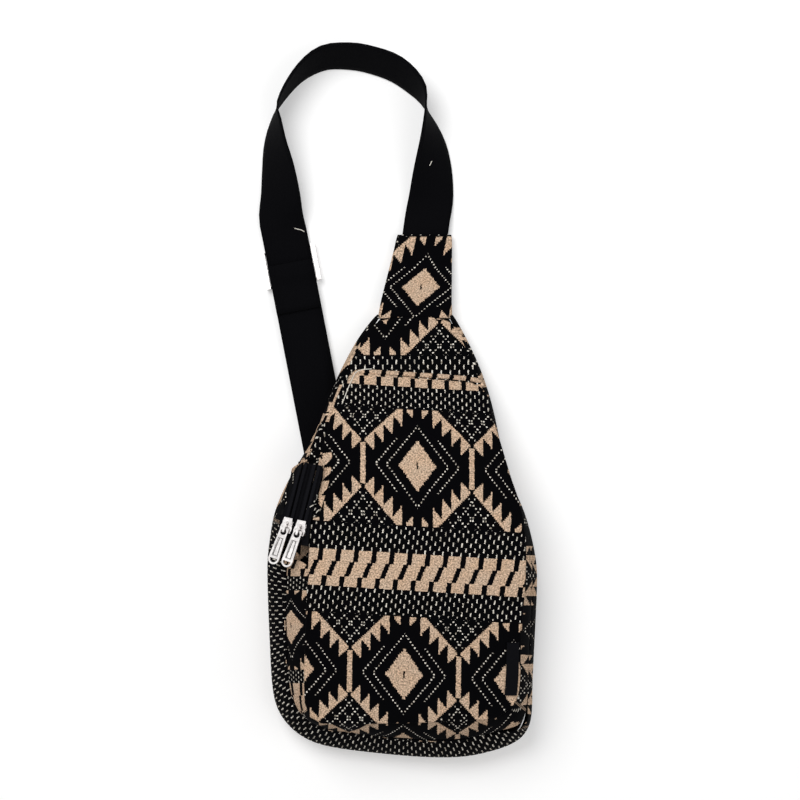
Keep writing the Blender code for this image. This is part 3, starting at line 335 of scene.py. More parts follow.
def jacquard():
    """Jacquard-woven cotton: black ground, tan floats, and cream dots and dashes that stand proud."""
    look, tree = blank("jacquard-woven cotton")
    place = node(tree, "ShaderNodeUVMap", {"uv_map": CLOTH_MAP})
    wander = node(
        tree, "ShaderNodeTexNoise", None,
        {"Vector": place.outputs[0], "Scale": WANDER_WAVE, "Detail": 3.0, "Roughness": 0.6},
    )
    drift = node(
        tree, "ShaderNodeVectorMath", {"operation": "SUBTRACT"},
        {0: wander.outputs["Color"], 1: (0.5, 0.5, 0.5)},
    )
    moved = node(
        tree, "ShaderNodeVectorMath", {"operation": "MULTIPLY_ADD"},
        {0: drift.outputs[0], 1: WANDER_REACH, 2: place.outputs[0]},
    )
    jitter = node(
        tree, "ShaderNodeTexNoise", None, {"Vector": place.outputs[0], "Scale": JITTER_WAVE, "Detail": 1.0},
    )
    ragged = node(
        tree, "ShaderNodeVectorMath", {"operation": "SUBTRACT"},
        {0: jitter.outputs["Color"], 1: (0.5, 0.5, 0.5)},
    )
    moved = node(
        tree, "ShaderNodeVectorMath", {"operation": "MULTIPLY_ADD"},
        {0: ragged.outputs[0], 1: JITTER_REACH, 2: moved.outputs[0]},
    )
    parts = node(tree, "ShaderNodeSeparateXYZ", None, {0: moved.outputs[0]})
    found = {"u": parts.outputs[0], "v": parts.outputs[1]}
    for name, operation, *values in MOTIF:
        links = {i: found.get(value, value) for i, value in enumerate(values)}
        found[name] = node(tree, "ShaderNodeMath", {"operation": operation, "label": name}, links).outputs[0]

    speckle = node(
        tree, "ShaderNodeTexNoise", None,
        {"Vector": place.outputs[0], "Scale": SPECKLE_WAVE, "Detail": 2.0, "Roughness": 0.8},
    )
    patch = node(
        tree, "ShaderNodeTexNoise", None, {"Vector": place.outputs[0], "Scale": PATCH_WAVE, "Detail": 2.0},
    )
    warm = node(
        tree, "ShaderNodeMix", {"data_type": "RGBA"},
        {0: patch.outputs[0], 6: linear("#BFAB97"), 7: linear("#C3A183")},
    )
    grain = node(
        tree, "ShaderNodeMapRange", None,
        {"Value": speckle.outputs[0], "From Min": 0.36, "From Max": 0.64, "To Min": 0.4, "To Max": 1.6},
    )
    grain_colour = node(
        tree, "ShaderNodeMix", {"data_type": "RGBA", "blend_type": "MULTIPLY"},
        {0: 1.0, 6: warm.outputs[2], 7: grain.outputs[0]},
    )
    ground = node(
        tree, "ShaderNodeMix", {"data_type": "RGBA"},
        {0: speckle.outputs[0], 6: linear("#010102"), 7: linear("#070709")},
    )
    with_tan = node(
        tree, "ShaderNodeMix", {"data_type": "RGBA"},
        {0: found["tan"], 6: ground.outputs[2], 7: grain_colour.outputs[2]},
    )
    worn = node(
        tree, "ShaderNodeMapRange", None, {"Value": jitter.outputs[0], "From Min": 0.35, "From Max": 0.62},
    )
    thread = node(
        tree, "ShaderNodeMix", {"data_type": "RGBA"},
        {0: worn.outputs[0], 6: linear("#8E8577"), 7: linear("#F1EBDF")},
    )
    colour = node(
        tree, "ShaderNodeMix", {"data_type": "RGBA"},
        {0: found["cream"], 6: with_tan.outputs[2], 7: thread.outputs[2]},
    )

    raised = node(tree, "ShaderNodeMath", {"operation": "MAXIMUM"}, {0: found["tan"], 1: found["cream"]})
    height = node(
        tree, "ShaderNodeMath", {"operation": "MULTIPLY_ADD"},
        {0: speckle.outputs[0], 1: 0.9, 2: raised.outputs[0]},
    )
    bump = node(
        tree, "ShaderNodeBump", None, {"Height": height.outputs[0], "Strength": 0.35, "Distance": 0.25 * MM},
    )
    cloth = node(
        tree, "ShaderNodeBsdfPrincipled", None,
        {
            "Base Color": colour.outputs[2], "Roughness": 0.92, "Specular IOR Level": 0.03,
            "Normal": bump.outputs[0],
        },
    )
    node(tree, "ShaderNodeOutputMaterial", None, {"Surface": cloth.outputs[0]})
    return look


def webbing():
    """Black cotton webbing: flat herringbone ribs that catch a faint edge of light."""
    look, tree = blank("black cotton webbing")
    place = node(tree, "ShaderNodeUVMap", {"uv_map": CLOTH_MAP})
    parts = node(tree, "ShaderNodeSeparateXYZ", None, {0: place.outputs[0]})
    fold = node(tree, "ShaderNodeMath", {"operation": "PINGPONG"}, {0: parts.outputs[0], 1: WEBBING_CHEVRON})
    slant = node(tree, "ShaderNodeMath", {"operation": "ADD"}, {0: fold.outputs[0], 1: parts.outputs[1]})
    rib = node(tree, "ShaderNodeMath", {"operation": "PINGPONG"}, {0: slant.outputs[0], 1: WEBBING_RIB})
    lint = node(
        tree, "ShaderNodeTexNoise", None,
        {"Vector": place.outputs[0], "Scale": 1.1, "Detail": 3.0, "Roughness": 0.7},
    )
    colour = node(
        tree, "ShaderNodeMix", {"data_type": "RGBA"},
        {0: lint.outputs[0], 6: linear("#020203"), 7: linear("#0A0A0D")},
    )
    height = node(tree, "ShaderNodeMath", {"operation": "ADD"}, {0: rib.outputs[0], 1: lint.outputs[0]})
    bump = node(
        tree, "ShaderNodeBump", None, {"Height": height.outputs[0], "Strength": 0.5, "Distance": 0.2 * MM},
    )
    cloth = node(
        tree, "ShaderNodeBsdfPrincipled", None,
        {
            "Base Color": colour.outputs[2], "Roughness": 0.88, "Specular IOR Level": 0.04,
            "Normal": bump.outputs[0],
        },
    )
    node(tree, "ShaderNodeOutputMaterial", None, {"Surface": cloth.outputs[0]})
    return look


def plain_weave(name, dark, light, thread):
    """Plain-woven cloth or tape in one colour, its threads a little uneven."""
    look, tree = blank(name)
    place = node(tree, "ShaderNodeTexCoord")
    size = node(
        tree, "ShaderNodeVectorMath", {"operation": "SCALE"},
        {0: place.outputs["Object"], "Scale": 1 / thread},
    )
    weave = node(
        tree, "ShaderNodeTexWave", {"wave_type": "BANDS", "bands_direction": "DIAGONAL"},
        {"Vector": size.outputs[0], "Scale": 0.5, "Distortion": 1.2, "Detail": 1.0},
    )
    lint = node(tree, "ShaderNodeTexNoise", None, {"Vector": size.outputs[0], "Scale": 0.6, "Detail": 3.0})
    colour = node(
        tree, "ShaderNodeMix", {"data_type": "RGBA"},
        {0: lint.outputs[0], 6: linear(dark), 7: linear(light)},
    )
    bump = node(
        tree, "ShaderNodeBump", None,
        {"Height": weave.outputs["Fac"], "Strength": 0.4, "Distance": 0.15 * MM},
    )
    cloth = node(
        tree, "ShaderNodeBsdfPrincipled", None,
        {
            "Base Color": colour.outputs[2], "Roughness": 0.85, "Specular IOR Level": 0.06,
            "Normal": bump.outputs[0],
        },
    )
    node(tree, "ShaderNodeOutputMaterial", None, {"Surface": cloth.outputs[0]})
    return look


def nickel():
    """Bright nickel plate on die-cast zinc: shiny on the open faces, with painted shade darkening the
    hollows.
    """
    look, tree = blank("nickel-plated zinc")
    place = node(tree, "ShaderNodeTexCoord")
    rubs = node(
        tree, "ShaderNodeTexNoise", None,
        {"Vector": place.outputs["Object"], "Scale": 320.0, "Detail": 4.0, "Roughness": 0.6},
    )
    rough = node(
        tree, "ShaderNodeMapRange", None,
        {"Value": rubs.outputs[0], "From Min": 0.3, "From Max": 0.7, "To Min": 0.18, "To Max": 0.34},
    )
    tint = node(
        tree, "ShaderNodeMix", {"data_type": "RGBA"},
        {0: rubs.outputs[0], 6: linear("#C9C5C4"), 7: linear("#ECE8E6")},
    )
    # Painted shade: ambient occlusion darkens the hollows towards #2E2B2A, standing in for the shade that
    # falls in them
    hollow_occlusion = node(tree, "ShaderNodeAmbientOcclusion", {"samples": 8}, {"Distance": 1.6 * MM})
    painted_hollow_shade = node(
        tree, "ShaderNodeMapRange", None,
        {"Value": hollow_occlusion.outputs["AO"], "From Min": 0.45, "From Max": 0.85},
    )
    colour = node(
        tree, "ShaderNodeMix", {"data_type": "RGBA"},
        {0: painted_hollow_shade.outputs[0], 6: linear("#2E2B2A"), 7: tint.outputs[2]},
    )
    bump = node(
        tree, "ShaderNodeBump", None, {"Height": rubs.outputs[0], "Strength": 0.1, "Distance": 0.1 * MM},
    )
    metal = node(
        tree, "ShaderNodeBsdfPrincipled", None,
        {
            "Base Color": colour.outputs[2], "Metallic": 1.0, "Roughness": rough.outputs[0],
            "Normal": bump.outputs[0],
        },
    )
    node(tree, "ShaderNodeOutputMaterial", None, {"Surface": metal.outputs[0]})
    return look


def smoothstep(value):
    value = np.clip(value, 0, 1)
    return value * value * (3 - 2 * value)


def placed(name, mesh, look, body="bag"):
    made = bpy.data.objects.new(name, mesh)
    mesh.materials.clear()
    mesh.materials.append(look)
    mesh.shade_smooth()
    bpy.context.scene.collection.objects.link(made)
    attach(made, body)
    return made


def subdivided(piece, levels, plain=False):
    finer = piece.modifiers.new("finer", "SUBSURF")
    finer.levels = levels
    finer.render_levels = levels
    finer.subdivision_type = "SIMPLE" if plain else "CATMULL_CLARK"


def applied(piece):
    """Makes the piece's modifiers part of its mesh."""
    bpy.context.view_layer.update()
    mesh = bpy.data.meshes.new_from_object(piece.evaluated_get(bpy.context.evaluated_depsgraph_get()))
    piece.modifiers.clear()
    piece.data = mesh
    mesh.shade_smooth()
    return piece


def dressed(name, source, look, levels=2, plain=False):
    """Cloth shaped on a CAD solid: welded, its triangles paired, and finely meshed."""
    work = bmesh.new()
    work.from_mesh(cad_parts[source].data)
    bmesh.ops.remove_doubles(work, verts=work.verts, dist=0.02 * MM)
    bmesh.ops.join_triangles(
        work, faces=work.faces, angle_face_threshold=math.radians(30),
        angle_shape_threshold=math.radians(60),
    )
    mesh = bpy.data.meshes.new(name)
    work.to_mesh(mesh)
    work.free()
    piece = placed(name, mesh, look)
    subdivided(piece, levels, plain)
    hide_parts(source)
    return applied(piece)


def points_of(piece):
    mesh = piece.data
    flat = np.empty(len(mesh.vertices) * 3)
    mesh.vertices.foreach_get("co", flat)
    return flat.reshape(-1, 3)


def move(piece, points):
    piece.data.vertices.foreach_set("co", points.ravel())
    piece.data.update()


def facing(piece):
    flat = np.empty(len(piece.data.vertices) * 3)
    piece.data.vertices.foreach_get("normal", flat)
    return flat.reshape(-1, 3)


def rumple(piece, height, size, seed):
    """Moves each point along its normal by smooth noise."""
    points = points_of(piece)
    away = facing(piece)
    shift = Vector((seed, 0, 0))
    amounts = [noise.noise(Vector(p) / size + shift) * height for p in points]
    move(piece, points + away * np.array(amounts)[:, None])


def pixel_of(points):
    """Where the photograph shows points, in its pixels."""
    scale = (CAMERA_HEIGHT - PHOTO_LEVEL) / (CAMERA_HEIGHT - points[:, 2]) / PIXEL
    across = PHOTO_MIDDLE[0] + (points[:, 0] - CAMERA_PLACE.x) * scale
    down = PHOTO_MIDDLE[1] - (points[:, 1] - CAMERA_PLACE.y) * scale
    return across, down


def spot(px, py, level):
    """Point at a height that the photograph shows at a pixel."""
    scale = (CAMERA_HEIGHT - level) / (CAMERA_HEIGHT - PHOTO_LEVEL) * PIXEL
    x = CAMERA_PLACE.x + (px - PHOTO_MIDDLE[0]) * scale
    y = CAMERA_PLACE.y - (py - PHOTO_MIDDLE[1]) * scale
    return Vector((x, y, level))


def lay(piece, u, v):
    """Gives the cloth its own coordinates, in stitches."""
    mesh = piece.data
    layer = mesh.uv_layers.get(CLOTH_MAP) or mesh.uv_layers.new(name=CLOTH_MAP)
    corners = np.empty(len(mesh.loops), dtype=np.int32)
    mesh.loops.foreach_get("vertex_index", corners)
    pairs = np.stack([np.asarray(u)[corners], np.asarray(v)[corners]], axis=1)
    layer.data.foreach_set("uv", pairs.ravel())


class Rim:
    """Outline of a flat part as seen from above: distance from its middle, and run along it from the neck."""

    def __init__(self, source, middle, bins=240):
        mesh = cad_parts[source].data
        points = points_of(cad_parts[source])[:, :2] - np.array(middle)
        ends = np.empty(len(mesh.edges) * 2, dtype=np.int32)
        mesh.edges.foreach_get("vertices", ends)
        first, second = points[ends[0::2]], points[ends[1::2]]
        side = second - first
        self.middle = middle
        self.turns = (np.arange(bins) + 0.5) / bins * math.tau
        self.far = np.zeros(bins)
        for i, turn in enumerate(self.turns):
            x, y = -math.sin(turn), math.cos(turn)
            slope = x * side[:, 1] - y * side[:, 0]
            slope[np.abs(slope) < TINY] = TINY
            away = (first[:, 0] * side[:, 1] - first[:, 1] * side[:, 0]) / slope
            share = (first[:, 0] * y - first[:, 1] * x) / slope
            met = (share >= 0) & (share <= 1) & (away > 0)
            self.far[i] = away[met].max() if met.any() else 0.0
        plan = self.plan(0.0)
        self.steps = np.concatenate([[0], np.cumsum(np.hypot(*np.diff(plan, axis=0).T))])

    def plan(self, inset):
        """Points of the outline, drawn in by a distance."""
        x = self.middle[0] - (self.far - inset) * np.sin(self.turns)
        y = self.middle[1] + (self.far - inset) * np.cos(self.turns)
        return np.stack([x, y], axis=1)

    def polar(self, points):
        """Turn from straight up, anticlockwise as seen from above, and the distance."""
        dx = points[:, 0] - self.middle[0]
        dy = points[:, 1] - self.middle[1]
        return np.arctan2(-dx, dy) % math.tau, np.hypot(dx, dy)

    def run(self, points):
        return np.interp(self.polar(points)[0], self.turns, self.steps)

    def outside(self, points):
        """How far points lie beyond the outline."""
        turn, far = self.polar(points)
        return far - np.interp(turn, self.turns, self.far, period=math.tau)


def tree_over(piece):
    return BVHTree.FromPolygons(
        [v.co for v in piece.data.vertices], [p.vertices for p in piece.data.polygons],
    )


def top_of(tree, x, y):
    """Height of a piece's upper face, or None beside it."""
    hit = tree.ray_cast(Vector((x, y, 1)), Vector((0, 0, -1)))
    return hit[0].z if hit[0] else None


def tube(name, path, sizes, look, body="bag", closed=False, sides=10):
    """Round or flattened roll along a path. sizes are its half width and half height."""
    points = [Vector(p) for p in path]
    count = len(points)
    half, high = sizes
    made = []
    for i, point in enumerate(points):
        ahead = points[(i + 1) % count if closed else min(i + 1, count - 1)]
        behind = points[(i - 1) % count if closed else max(i - 1, 0)]
        along = (ahead - behind).normalized()
        across = along.cross(Vector((0, 0, 1)))
        across = across.normalized() if across.length > 0.1 else Vector((1, 0, 0))
        off = across.cross(along)
        for k in range(sides):
            angle = math.tau * k / sides
            made.append(point + across * half * math.cos(angle) + off * high * math.sin(angle))
    faces = []
    for i in range(count if closed else count - 1):
        j = (i + 1) % count
        for k in range(sides):
            n = (k + 1) % sides
            faces.append((i * sides + k, i * sides + n, j * sides + n, j * sides + k))
    if not closed:
        faces.append(tuple(reversed(range(sides))))
        faces.append(tuple(range((count - 1) * sides, count * sides)))
    mesh = bpy.data.meshes.new(name)
    mesh.from_pydata([tuple(p) for p in made], [], faces)
    return placed(name, mesh, look, body)


# Coordinates of each cut of the cloth, in stitches. The cloth is drawn in here and let out there: these are
# places down each piece as seen, and the same places in the weave
FRONT_SEEN = (-120, -93, -87, -78.4, -57, 0, 21, 61.5, 88, 124.6, 150, 208.5, 320)
FRONT_WOVEN = (-130, -102, -95.7, -85.7, -57, 0, 21, 57, 85.8, 122.8, 151.5, 208.5, 320)
FRONT_LEAN_AT = (-90, 60, 150, 210, 300)
FRONT_LEAN = (0, 0, -12.2, -13.4, -15)
FRONT_MIDDLE = (417.4, 465.9)
FRONT_SLANT = 0.06
TAPER = 0.06
TAPER_FROM = 30
TAPER_LONG = 40
UPPER_MIDDLE = (385, 299)
FOLD_SEEN = (545, 575, 590, 596, 607, 625, 648, 664, 683, 709, 730)
FOLD_WOVEN = (-125, -88, -57, -43.6, -30.4, 0, 30.4, 43.6, 86, 110, 140)
NECK_SEEN = (-60, -50.5, -32.3, -18, 0, 18, 45)
NECK_WOVEN = (-66, -56, -39.3, -24.4, 0, 24.4, 57)
NECK_MIDDLE = (421, 287)
NECK_SLANT = 0.21
RIGHT_HALF = 420
LEFT_HALF = 400
RIGHT_STRIP_END = 728
RIGHT_MEDALLION = 630
RIGHT_EDGE = 518.5
ZIP_END = 521
ZIP_MEDALLION = 495.5

# The strips' own places in the weave, and how much they are drawn in
STRIP_TOP = 47
WALL_DRAWN_IN = 0.25
ZIP_DRAWN_IN = 0.8
DASHES_TOP = 58
DASHES_DRAWN_IN = 0.75
FOLD_TOP = 25
BOTTOM_TOP = 253.5
BOTTOM_CORNERS = (1017, 185)


def front_cut(points):
    px, py = pixel_of(points)
    down = py - FRONT_MIDDLE[1]
    u = px - FRONT_MIDDLE[0] - np.interp(down, FRONT_LEAN_AT, FRONT_LEAN)
    v = down - FRONT_SLANT * u
    taper = 1 + TAPER * smoothstep((-v - TAPER_FROM) / TAPER_LONG)
    return u * taper, np.interp(v, FRONT_SEEN, FRONT_WOVEN)


def upper_cut(points):
    px, py = pixel_of(points)
    return px - UPPER_MIDDLE[0], py - UPPER_MIDDLE[1]


def right_strip(px, drop):
    """Stitches from a medallion's middle out to the right edge of the bag, and down its wall."""
    return STRIP_TOP - np.maximum(0, px - RIGHT_EDGE) - WALL_DRAWN_IN * drop / STITCH


def side_cut(points):
    """Side strip: its motif runs round the bag, dashes on the left and below, a medallion on the right."""
    run = SIDE.run(points) / STITCH
    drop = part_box("main_gusset")[1].z - points[:, 2]
    girth = np.hypot(drop, np.maximum(0, SIDE_SEAM.outside(points))) / STITCH
    px, py = pixel_of(points)
    right = (px > RIGHT_HALF) & (py < RIGHT_STRIP_END)
    above = (py < ZIP_END) & (px < LEFT_HALF)
    along = np.where(above, (py - ZIP_MEDALLION) * ZIP_DRAWN_IN, run)
    along = np.where(right, py - RIGHT_MEDALLION, along)
    across = np.where(above, STRIP_TOP - girth, DASHES_TOP + DASHES_DRAWN_IN * girth)
    across = np.where(right, right_strip(px, drop), across)
    return along, across


def pocket_side_cut(points):
    px, py = pixel_of(points)
    drop = (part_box("front_gusset")[1].z - points[:, 2]) / STITCH
    girth = np.hypot(drop, np.maximum(0, POCKET_RIM.outside(points)) / STITCH)
    u = front_cut(points)[0]
    below = (px + py > BOTTOM_CORNERS[0]) & (py - px > BOTTOM_CORNERS[1])
    right = (px > RIGHT_HALF) & ~below
    left = ~below & ~right
    across = np.where(right, py - RIGHT_MEDALLION, FOLD_TOP - girth)
    across = np.where(below, u, across)
    down = np.where(left, np.interp(py, FOLD_SEEN, FOLD_WOVEN), right_strip(px, drop * STITCH))
    down = np.where(below, BOTTOM_TOP - girth, down)
    return across, down


def neck_cut(points):
    px, py = pixel_of(points)
    down = py - NECK_MIDDLE[1]
    return px - NECK_MIDDLE[0] + NECK_SLANT * down, np.interp(down, NECK_SEEN, NECK_WOVEN)


def cut_from(piece, cut):
    lay(piece, *cut(points_of(piece)))


def body_cloth():
    """The bag's outer cloth: the pocket's face and side, the upper front and the side strip."""
    front = dressed("front_cloth", "front_panel", CLOTH, levels=3)
    rumple(front, height=0.9 * MM, size=28 * MM, seed=3)
    cut_from(front, front_cut)
    upper = dressed("upper_cloth", "middle_panel", CLOTH)
    cut_from(upper, upper_cut)
    side = dressed("side_cloth", "main_gusset", CLOTH)
    cut_from(side, side_cut)
    pocket_side = dressed("pocket_side_cloth", "front_gusset", CLOTH, levels=3)
    rumple(pocket_side, height=0.5 * MM, size=12 * MM, seed=5)
    cut_from(pocket_side, pocket_side_cut)
    return front, upper, side, pocket_side


# Neck sleeve: its foot is turned out over the top of the body, and its mouth reaches a little up the strap
NECK_LEVEL = 7.5 * MM
FOOT_LONG = 9 * MM
FOOT_RISE = 0.42
FOOT_SPREAD = 0.03
FOOT_DROP = 5.5 * MM
MOUTH_LONG = 12 * MM
MOUTH_REACH = 2.2 * MM
FLOOR_CLEAR = 0.1 * MM


def neck():
    """Neck sleeve, its foot turned out over the top of the body."""
    piece = dressed("neck_cloth", "neck_sleeve", CLOTH, levels=3)
    points = points_of(piece)
    foot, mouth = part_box("neck_sleeve")
    middle = (foot + mouth) / 2
    share = smoothstep((foot.y + FOOT_LONG - points[:, 1]) / FOOT_LONG)
    points[:, 2] = NECK_LEVEL + (points[:, 2] - NECK_LEVEL) * (1 + FOOT_RISE * share)
    points[:, 0] += (points[:, 0] - middle.x) * FOOT_SPREAD * share
    points[:, 1] -= FOOT_DROP * share
    points[:, 1] += MOUTH_REACH * smoothstep((points[:, 1] - mouth.y + MOUTH_LONG) / MOUTH_LONG)
    points[:, 2] = np.maximum(points[:, 2], FLOOR_CLEAR)
    move(piece, points)
    cut_from(piece, neck_cut)


# Pieces laid on the cloth: a first guess of its height, and how often the line of sight is corrected
FIRST_LEVEL = 30 * MM
SIGHT_PASSES = 5
ROLL_STEP = 1.6
ROLL_PASSES = 3


def over_all(x, y, trees):
    """Highest of several pieces at a place."""
    levels = [level for level in (top_of(tree, x, y) for tree in trees) if level is not None]
    return max(levels) if levels else None


def on_top(px, py, trees, raised):
    """Point that the photograph shows at a pixel, on the highest of several pieces, or None beside them."""
    point = spot(px, py, FIRST_LEVEL)
    level = None
    for _ in range(SIGHT_PASSES):
        level = over_all(point.x, point.y, trees)
        point = spot(px, py, point.z if level is None else level)
    return None if level is None else point + Vector((0, 0, raised))


def along_pixels(corners, step):
    """Evenly spaced pixels along a line of corners."""
    corners = np.array(corners, dtype=float)
    run = np.concatenate([[0], np.cumsum(np.hypot(*np.diff(corners, axis=0).T))])
    places = np.linspace(0, run[-1], max(2, int(run[-1] / step) + 1))
    return np.stack([np.interp(places, run, corners[:, k]) for k in range(2)], axis=1)


def laid_roll(name, corners, sizes, look, trees, raised, cut=None):
    path = [on_top(px, py, trees, raised) for px, py in along_pixels(corners, ROLL_STEP)]
    path = [point for point in path if point is not None]
    if len(path) < 3:
        return None
    for _ in range(ROLL_PASSES):
        eased = [(path[i - 1] + path[i] * 2 + path[i + 1]) / 4 for i in range(1, len(path) - 1)]
        path = [path[0], *eased, path[-1]]
    roll = tube(name, path, sizes, look)
    if cut:
        cut_from(roll, cut)
    return roll


# Flaps beside the zips
FLAP_ROWS = 26
FLAP_ACROSS = 9
FLAP_STEP = 0.1
FLAP_PASSES = 6
FLAP_CROWN = 0.9 * MM
FLAP_LIFT = 0.7 * MM
FLAP_THICK = 0.7 * MM


def flap(name, near, free, trees, cut):
    """Edge of the cloth turned over a zip tape, from where it is sewn down to its free edge."""
    near = along_pixels(near, FLAP_STEP)
    free = along_pixels(free, FLAP_STEP)
    grid = []
    for i in range(FLAP_ROWS):
        first = near[int(i / (FLAP_ROWS - 1) * (len(near) - 1))]
        last = free[int(i / (FLAP_ROWS - 1) * (len(free) - 1))]
        for k in range(FLAP_ACROSS):
            share = k / (FLAP_ACROSS - 1)
            px, py = first + (last - first) * share
            crown = FLAP_CROWN * math.sin(math.pi * share) + FLAP_LIFT * share
            place = on_top(px, py, trees, crown)
            if place is None:
                place = spot(px, py, grid[-1].z if grid else FIRST_LEVEL)
            grid.append(place)
    levels = np.array([point.z for point in grid]).reshape(FLAP_ROWS, FLAP_ACROSS)
    for _ in range(FLAP_PASSES):
        padded = np.pad(levels, 1, mode="edge")
        smooth = (padded[:-2, 1:-1] + padded[2:, 1:-1] + padded[1:-1, :-2] + padded[1:-1, 2:]) / 4
        levels = np.maximum(levels, smooth)
    for point, level in zip(grid, levels.ravel()):
        point.z = level
    faces = []
    for i in range(FLAP_ROWS - 1):
        for k in range(FLAP_ACROSS - 1):
            a = i * FLAP_ACROSS + k
            faces.append((a, a + 1, a + FLAP_ACROSS + 1, a + FLAP_ACROSS))
    mesh = bpy.data.meshes.new(name)
    mesh.from_pydata([tuple(point) for point in grid], [], faces)
    piece = placed(name, mesh, CLOTH)
    if mesh.polygons[0].normal.z < 0:
        mesh.flip_normals()
    thick = piece.modifiers.new("thick", "SOLIDIFY")
    thick.thickness = FLAP_THICK
    thick.offset = -1
    subdivided(piece, 2)
    applied(piece)
    cut_from(piece, cut)
    return piece


# The motif on each flap, from places in the photograph
LEFT_FLAP_TOP = 39.3
LEFT_FLAP_EDGE = 287
LEFT_FLAP_UPPER = 0.66
LEFT_FLAP_AT = (465, 492)
LEFT_FLAP_WIDEN = (0.75, 1.4)
RIGHT_FLAP_AT = (458, 488)
RIGHT_FLAP_EDGE = (323, 319)
RIGHT_FLAP_DRAWN_IN = 0.9
RIGHT_FLAP_OUT = 0.6
RIGHT_FLAP_TOOTH = (5, 26)


def left_flap_cut(points):
    px, py = pixel_of(points)
    down = py - ZIP_MEDALLION
    widen = np.interp(py, LEFT_FLAP_AT, LEFT_FLAP_WIDEN)
    return down * np.where(down < 0, LEFT_FLAP_UPPER, 1.0), LEFT_FLAP_TOP + (px - LEFT_FLAP_EDGE) * widen


def right_flap_cut(points):
    """The teeth of a triangle's side run down this fold."""
    px, py = pixel_of(points)
    down = (py - RIGHT_FLAP_AT[0]) * RIGHT_FLAP_DRAWN_IN
    out = px - np.interp(py, RIGHT_FLAP_AT, RIGHT_FLAP_EDGE) - RIGHT_FLAP_OUT
    half = math.sqrt(0.5)
    across = REPEAT_ACROSS / 2 - (RIGHT_FLAP_TOOTH[0] + (down + out) * half)
    return across, RIGHT_FLAP_TOOTH[1] + (down - out) * half


# Where each flap is sewn down, and its free edge, clear of the slider's way
LEFT_SEWN = [(306, 453), (299, 464), (289, 480), (282, 497), (276, 515)]
LEFT_FREE = [(314, 459), (303, 462), (292.4, 468), (289.6, 480), (287.6, 492), (282.5, 515)]
RIGHT_SEWN = [(332, 450), (332, 465), (329, 482), (324, 500), (319, 517)]
RIGHT_FREE = [(318.5, 455), (324, 463), (323.4, 474), (320, 488), (317, 499), (312, 517)]


def zip_flaps(trees):
    left = flap("zip_flap_left", LEFT_SEWN, LEFT_FREE, trees, left_flap_cut)
    right = flap("zip_flap_right", RIGHT_SEWN, RIGHT_FREE, trees, right_flap_cut)
    return left, right


# Rolled top edge of the pocket, from left to right in the photograph
HEM_LINE = (
    (349, 385), (351, 377), (356, 372.4), (364, 371.6), (400, 373.9), (440, 376.4), (470, 379), (481, 381.5),
    (486, 388),
)
HEM_SIZE = (1.8 * MM, 1.4 * MM)
HEM_SUNK = 0.2 * MM


def hem(trees):
    """Top edge of the pocket, rolled over and stitched down."""
    return laid_roll("pocket_hem", HEM_LINE, HEM_SIZE, CLOTH, trees, -HEM_SUNK, cut=front_cut)


# Short ends of thread, numbered, from their places in the photograph
LOOSE_THREADS = {
    0: [(372, 369), (362, 369.4), (355.5, 372), (349, 386), (342, 404)],
    1: [(294.5, 228.4), (299, 229.4), (303.6, 230.4), (304.4, 232)],
    2: [(432, 161), (430.8, 163.4), (429.5, 165.6)],
    4: [(272, 275), (276, 278), (280, 276)],
    5: [(317, 495), (317.5, 498), (314, 502)],
    6: [(310, 507), (313, 505), (316, 504)],
    7: [(316, 513), (319, 509.5)],
}
LOOSE_SIZE = (0.32 * MM, 0.3 * MM)
LOOSE_RAISED = 0.35 * MM


def loose_threads(trees):
    for number, corners in LOOSE_THREADS.items():
        laid_roll(f"loose_thread_{number}", corners, LOOSE_SIZE, THREAD, trees, LOOSE_RAISED)


# The pulls' own directions and half width, and the corners of the sunk panel as shares of them
PULL_ALONG = (-0.33935, -0.93622, 0.09128)
PULL_SIDE = (-0.86215, 0.27075, -0.42824)
PULL_HALF = 2.6 * MM
PANEL_CORNERS = ((0.30, -0.44), (0.30, 0.44), (0.52, 0.56), (0.76, 0.64), (0.76, -0.64), (0.52, -0.56))
PANEL_SIGHT = 8 * MM
PANEL_LINE = (0.24 * MM, 0.14 * MM)
PANEL_LINE_RAISED = 0.05 * MM


def pull_shade_lines(body):
    """Painted shade: a dark line round the sunk panel on a zip pull, where the panel's edge falls in shade.
    """
    node_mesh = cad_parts[body]
    tree = tree_over(node_mesh)
    points = points_of(node_mesh)
    middle = points.mean(axis=0)
    along = Vector(PULL_ALONG)
    side = Vector(PULL_SIDE)
    off = side.cross(along)
    off = off if off.z > 0 else -off
    reach = [Vector(p - middle).dot(along) for p in points]
    path = []
    for a, s in PANEL_CORNERS:
        place = Vector(middle) + along * (min(reach) + (max(reach) - min(reach)) * a) + side * s * PULL_HALF
        hit = tree.ray_cast(place + off * PANEL_SIGHT, -off)
        if hit[0]:
            path.append(hit[0] + off * PANEL_LINE_RAISED)
    if len(path) > 3:
        tube(f"{body}_panel_shade_line", path, PANEL_LINE, PANEL_SHADE, body, closed=True)


def rim_roll(name, rim, inset, tree, sink, size, cut, start=0.0, end=1.0):
    """Turned seam along an outline: the cloth's edge folded over its allowance."""
    plan = rim.plan(inset)
    path = []
    for x, y in plan[int(start * len(plan)) : int(end * len(plan))]:
        level = top_of(tree, x, y)
        if level is not None:
            path.append((x, y, level - sink))
    whole = (start, end) == (0.0, 1.0)
    roll = tube(name, path, (size, size), CLOTH, closed=whole)
    cut_from(roll, cut)
    return roll


